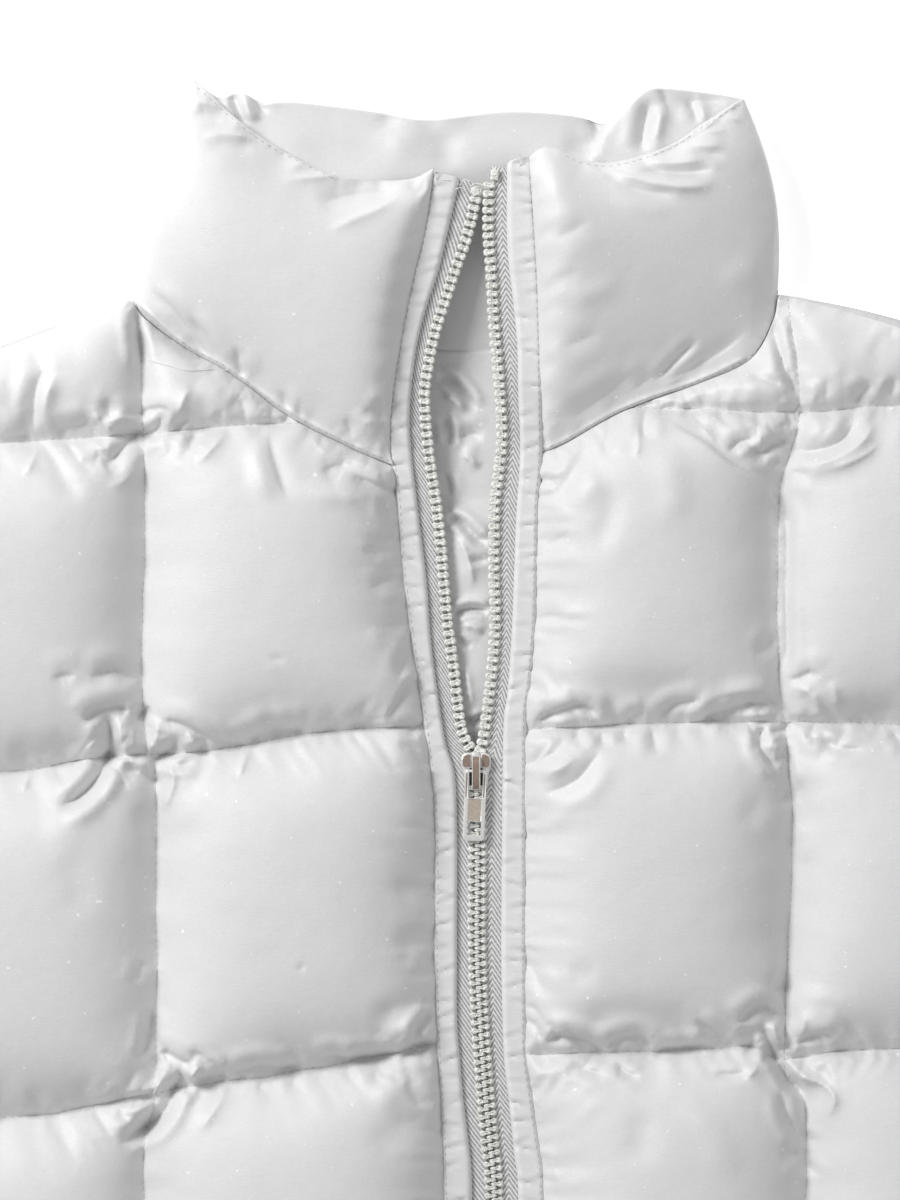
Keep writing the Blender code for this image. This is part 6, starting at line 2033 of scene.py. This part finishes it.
set_camera()
set_light()
set_stage()
SHELL = shell_finish("satin_shell", 0.75)
TAPES = {-1: tape_finish("twill_tape", 40.0, 1.5), 1: tape_finish("herringbone_tape", 3.4, -1.6)}
TOOTH = tooth_finish()
METAL = metal_finish("polished_rim", (0.93, 0.92, 0.87), 0.34, 0.5)
BRONZE = metal_finish("bronze_recess", (0.36, 0.27, 0.22), 0.42, 0.5)
TAN = metal_finish("tan_plate", (0.56, 0.49, 0.41), 0.42, 0.4)
# near-black finish: painted shade for the hollow under the slider's bail
PAINTED_HOLLOW_SHADE = metal_finish("painted_hollow_shade", (0.06, 0.055, 0.05), 0.6, 0.2)
# the stitches' dark grey is partly the thread's own tone and partly painted shade of the stitch holes
STITCH_THREAD_AND_SHADE = thread_finish("sewing_thread_and_hole_shade", 0.42, 0.66)
LINT = thread_finish("pale_thread", 0.66, 0.88)

LOOSE_END = ((148, 360), (160, 364), (172, 367), (186, 371), (200, 371), (212, 370), (229, 370))
# frayed ends at the zip's top: places in the picture and how high each climbs
FRAYED_ENDS = ((((437, 184), (436, 176), (434, 168)), 25.0), (((437, 176), (442, 180), (450, 181)), 23.0),
               (((460, 186), (464, 180), (470, 182)), 23.5), (((455, 190), (462, 188), (466, 193)), 23.0),
               (((470, 187), (476, 184), (484, 186)), 23.5), (((519, 168), (521, 161), (519, 154)), 25.0),
               (((545, 158), (550, 152), (547, 147)), 25.0), (((552, 160), (556, 154), (553, 150)), 24.0))

SEWN = []  # each: the line of a seam and the surface that it is sewn on
for word, side, neck, shoulder, rows, columns, creases, seed in (
        ("left", -1, LEFT_NECK, LEFT_SHOULDER, LEFT_ROWS, LEFT_COLUMNS, LEFT_CREASES, 3.0),
        ("right", 1, RIGHT_NECK, RIGHT_SHOULDER, RIGHT_ROWS, RIGHT_COLUMNS, RIGHT_CREASES, 23.0)):
    piece, lines = front(f"quilted_front_{word}", f"front_{word}", side, neck, shoulder, rows,
                         columns, creases, seed)
    face = surface_of(piece)
    SEWN += [(line, face) for line in lines]
for word, side, shoulder, seed in (("left", -1, LEFT_SHOULDER, 43.0),
                                   ("right", 1, RIGHT_SHOULDER, 53.0)):
    piece, lines = sleeve(f"quilted_sleeve_{word}", f"sleeve_{word}", side, shoulder, seed)
    face = surface_of(piece)
    SEWN += [(line, face) for line in lines]
back()
hems()
cuff(-1)
cuff(1)
COLLAR_FACE = surface_of(collar())
BANDS_FACE = surface_of(*zip_parts())
zip_slider()
zip_pull_tab()
for side, course in STITCH_COURSE.items():
    line = [(course(y) - side * BAND_STITCH_INSET, y) for y in np.arange(HEM_END_Y + 4.0, 326.0, 2.0)]
    SEWN.append((line, BANDS_FACE))
for neck in (LEFT_NECK, RIGHT_NECK):
    SEWN.append((shifted(rounded(neck, SEAM_PITCH), 0.0, 1.3), COLLAR_FACE))
for edge in (LEFT_COLLAR_TOP[2:], RIGHT_COLLAR_TOP[3:]):
    SEWN.append((shifted(rounded(edge, SEAM_PITCH), 0.0, -1.6), COLLAR_FACE))
PLACES = []
for line, top in SEWN:
    PLACES += stitches_along(line, top)
copies("sewn_stitches", [(stitch_shape(), PLACES)], STITCH_THREAD_AND_SHADE)
ENDS = [resting(LOOSE_END, SEWN[0][1])]
ENDS += [standing(points, 22.5, high) for points, high in FRAYED_ENDS]
loose_threads("loose_ends", ENDS)
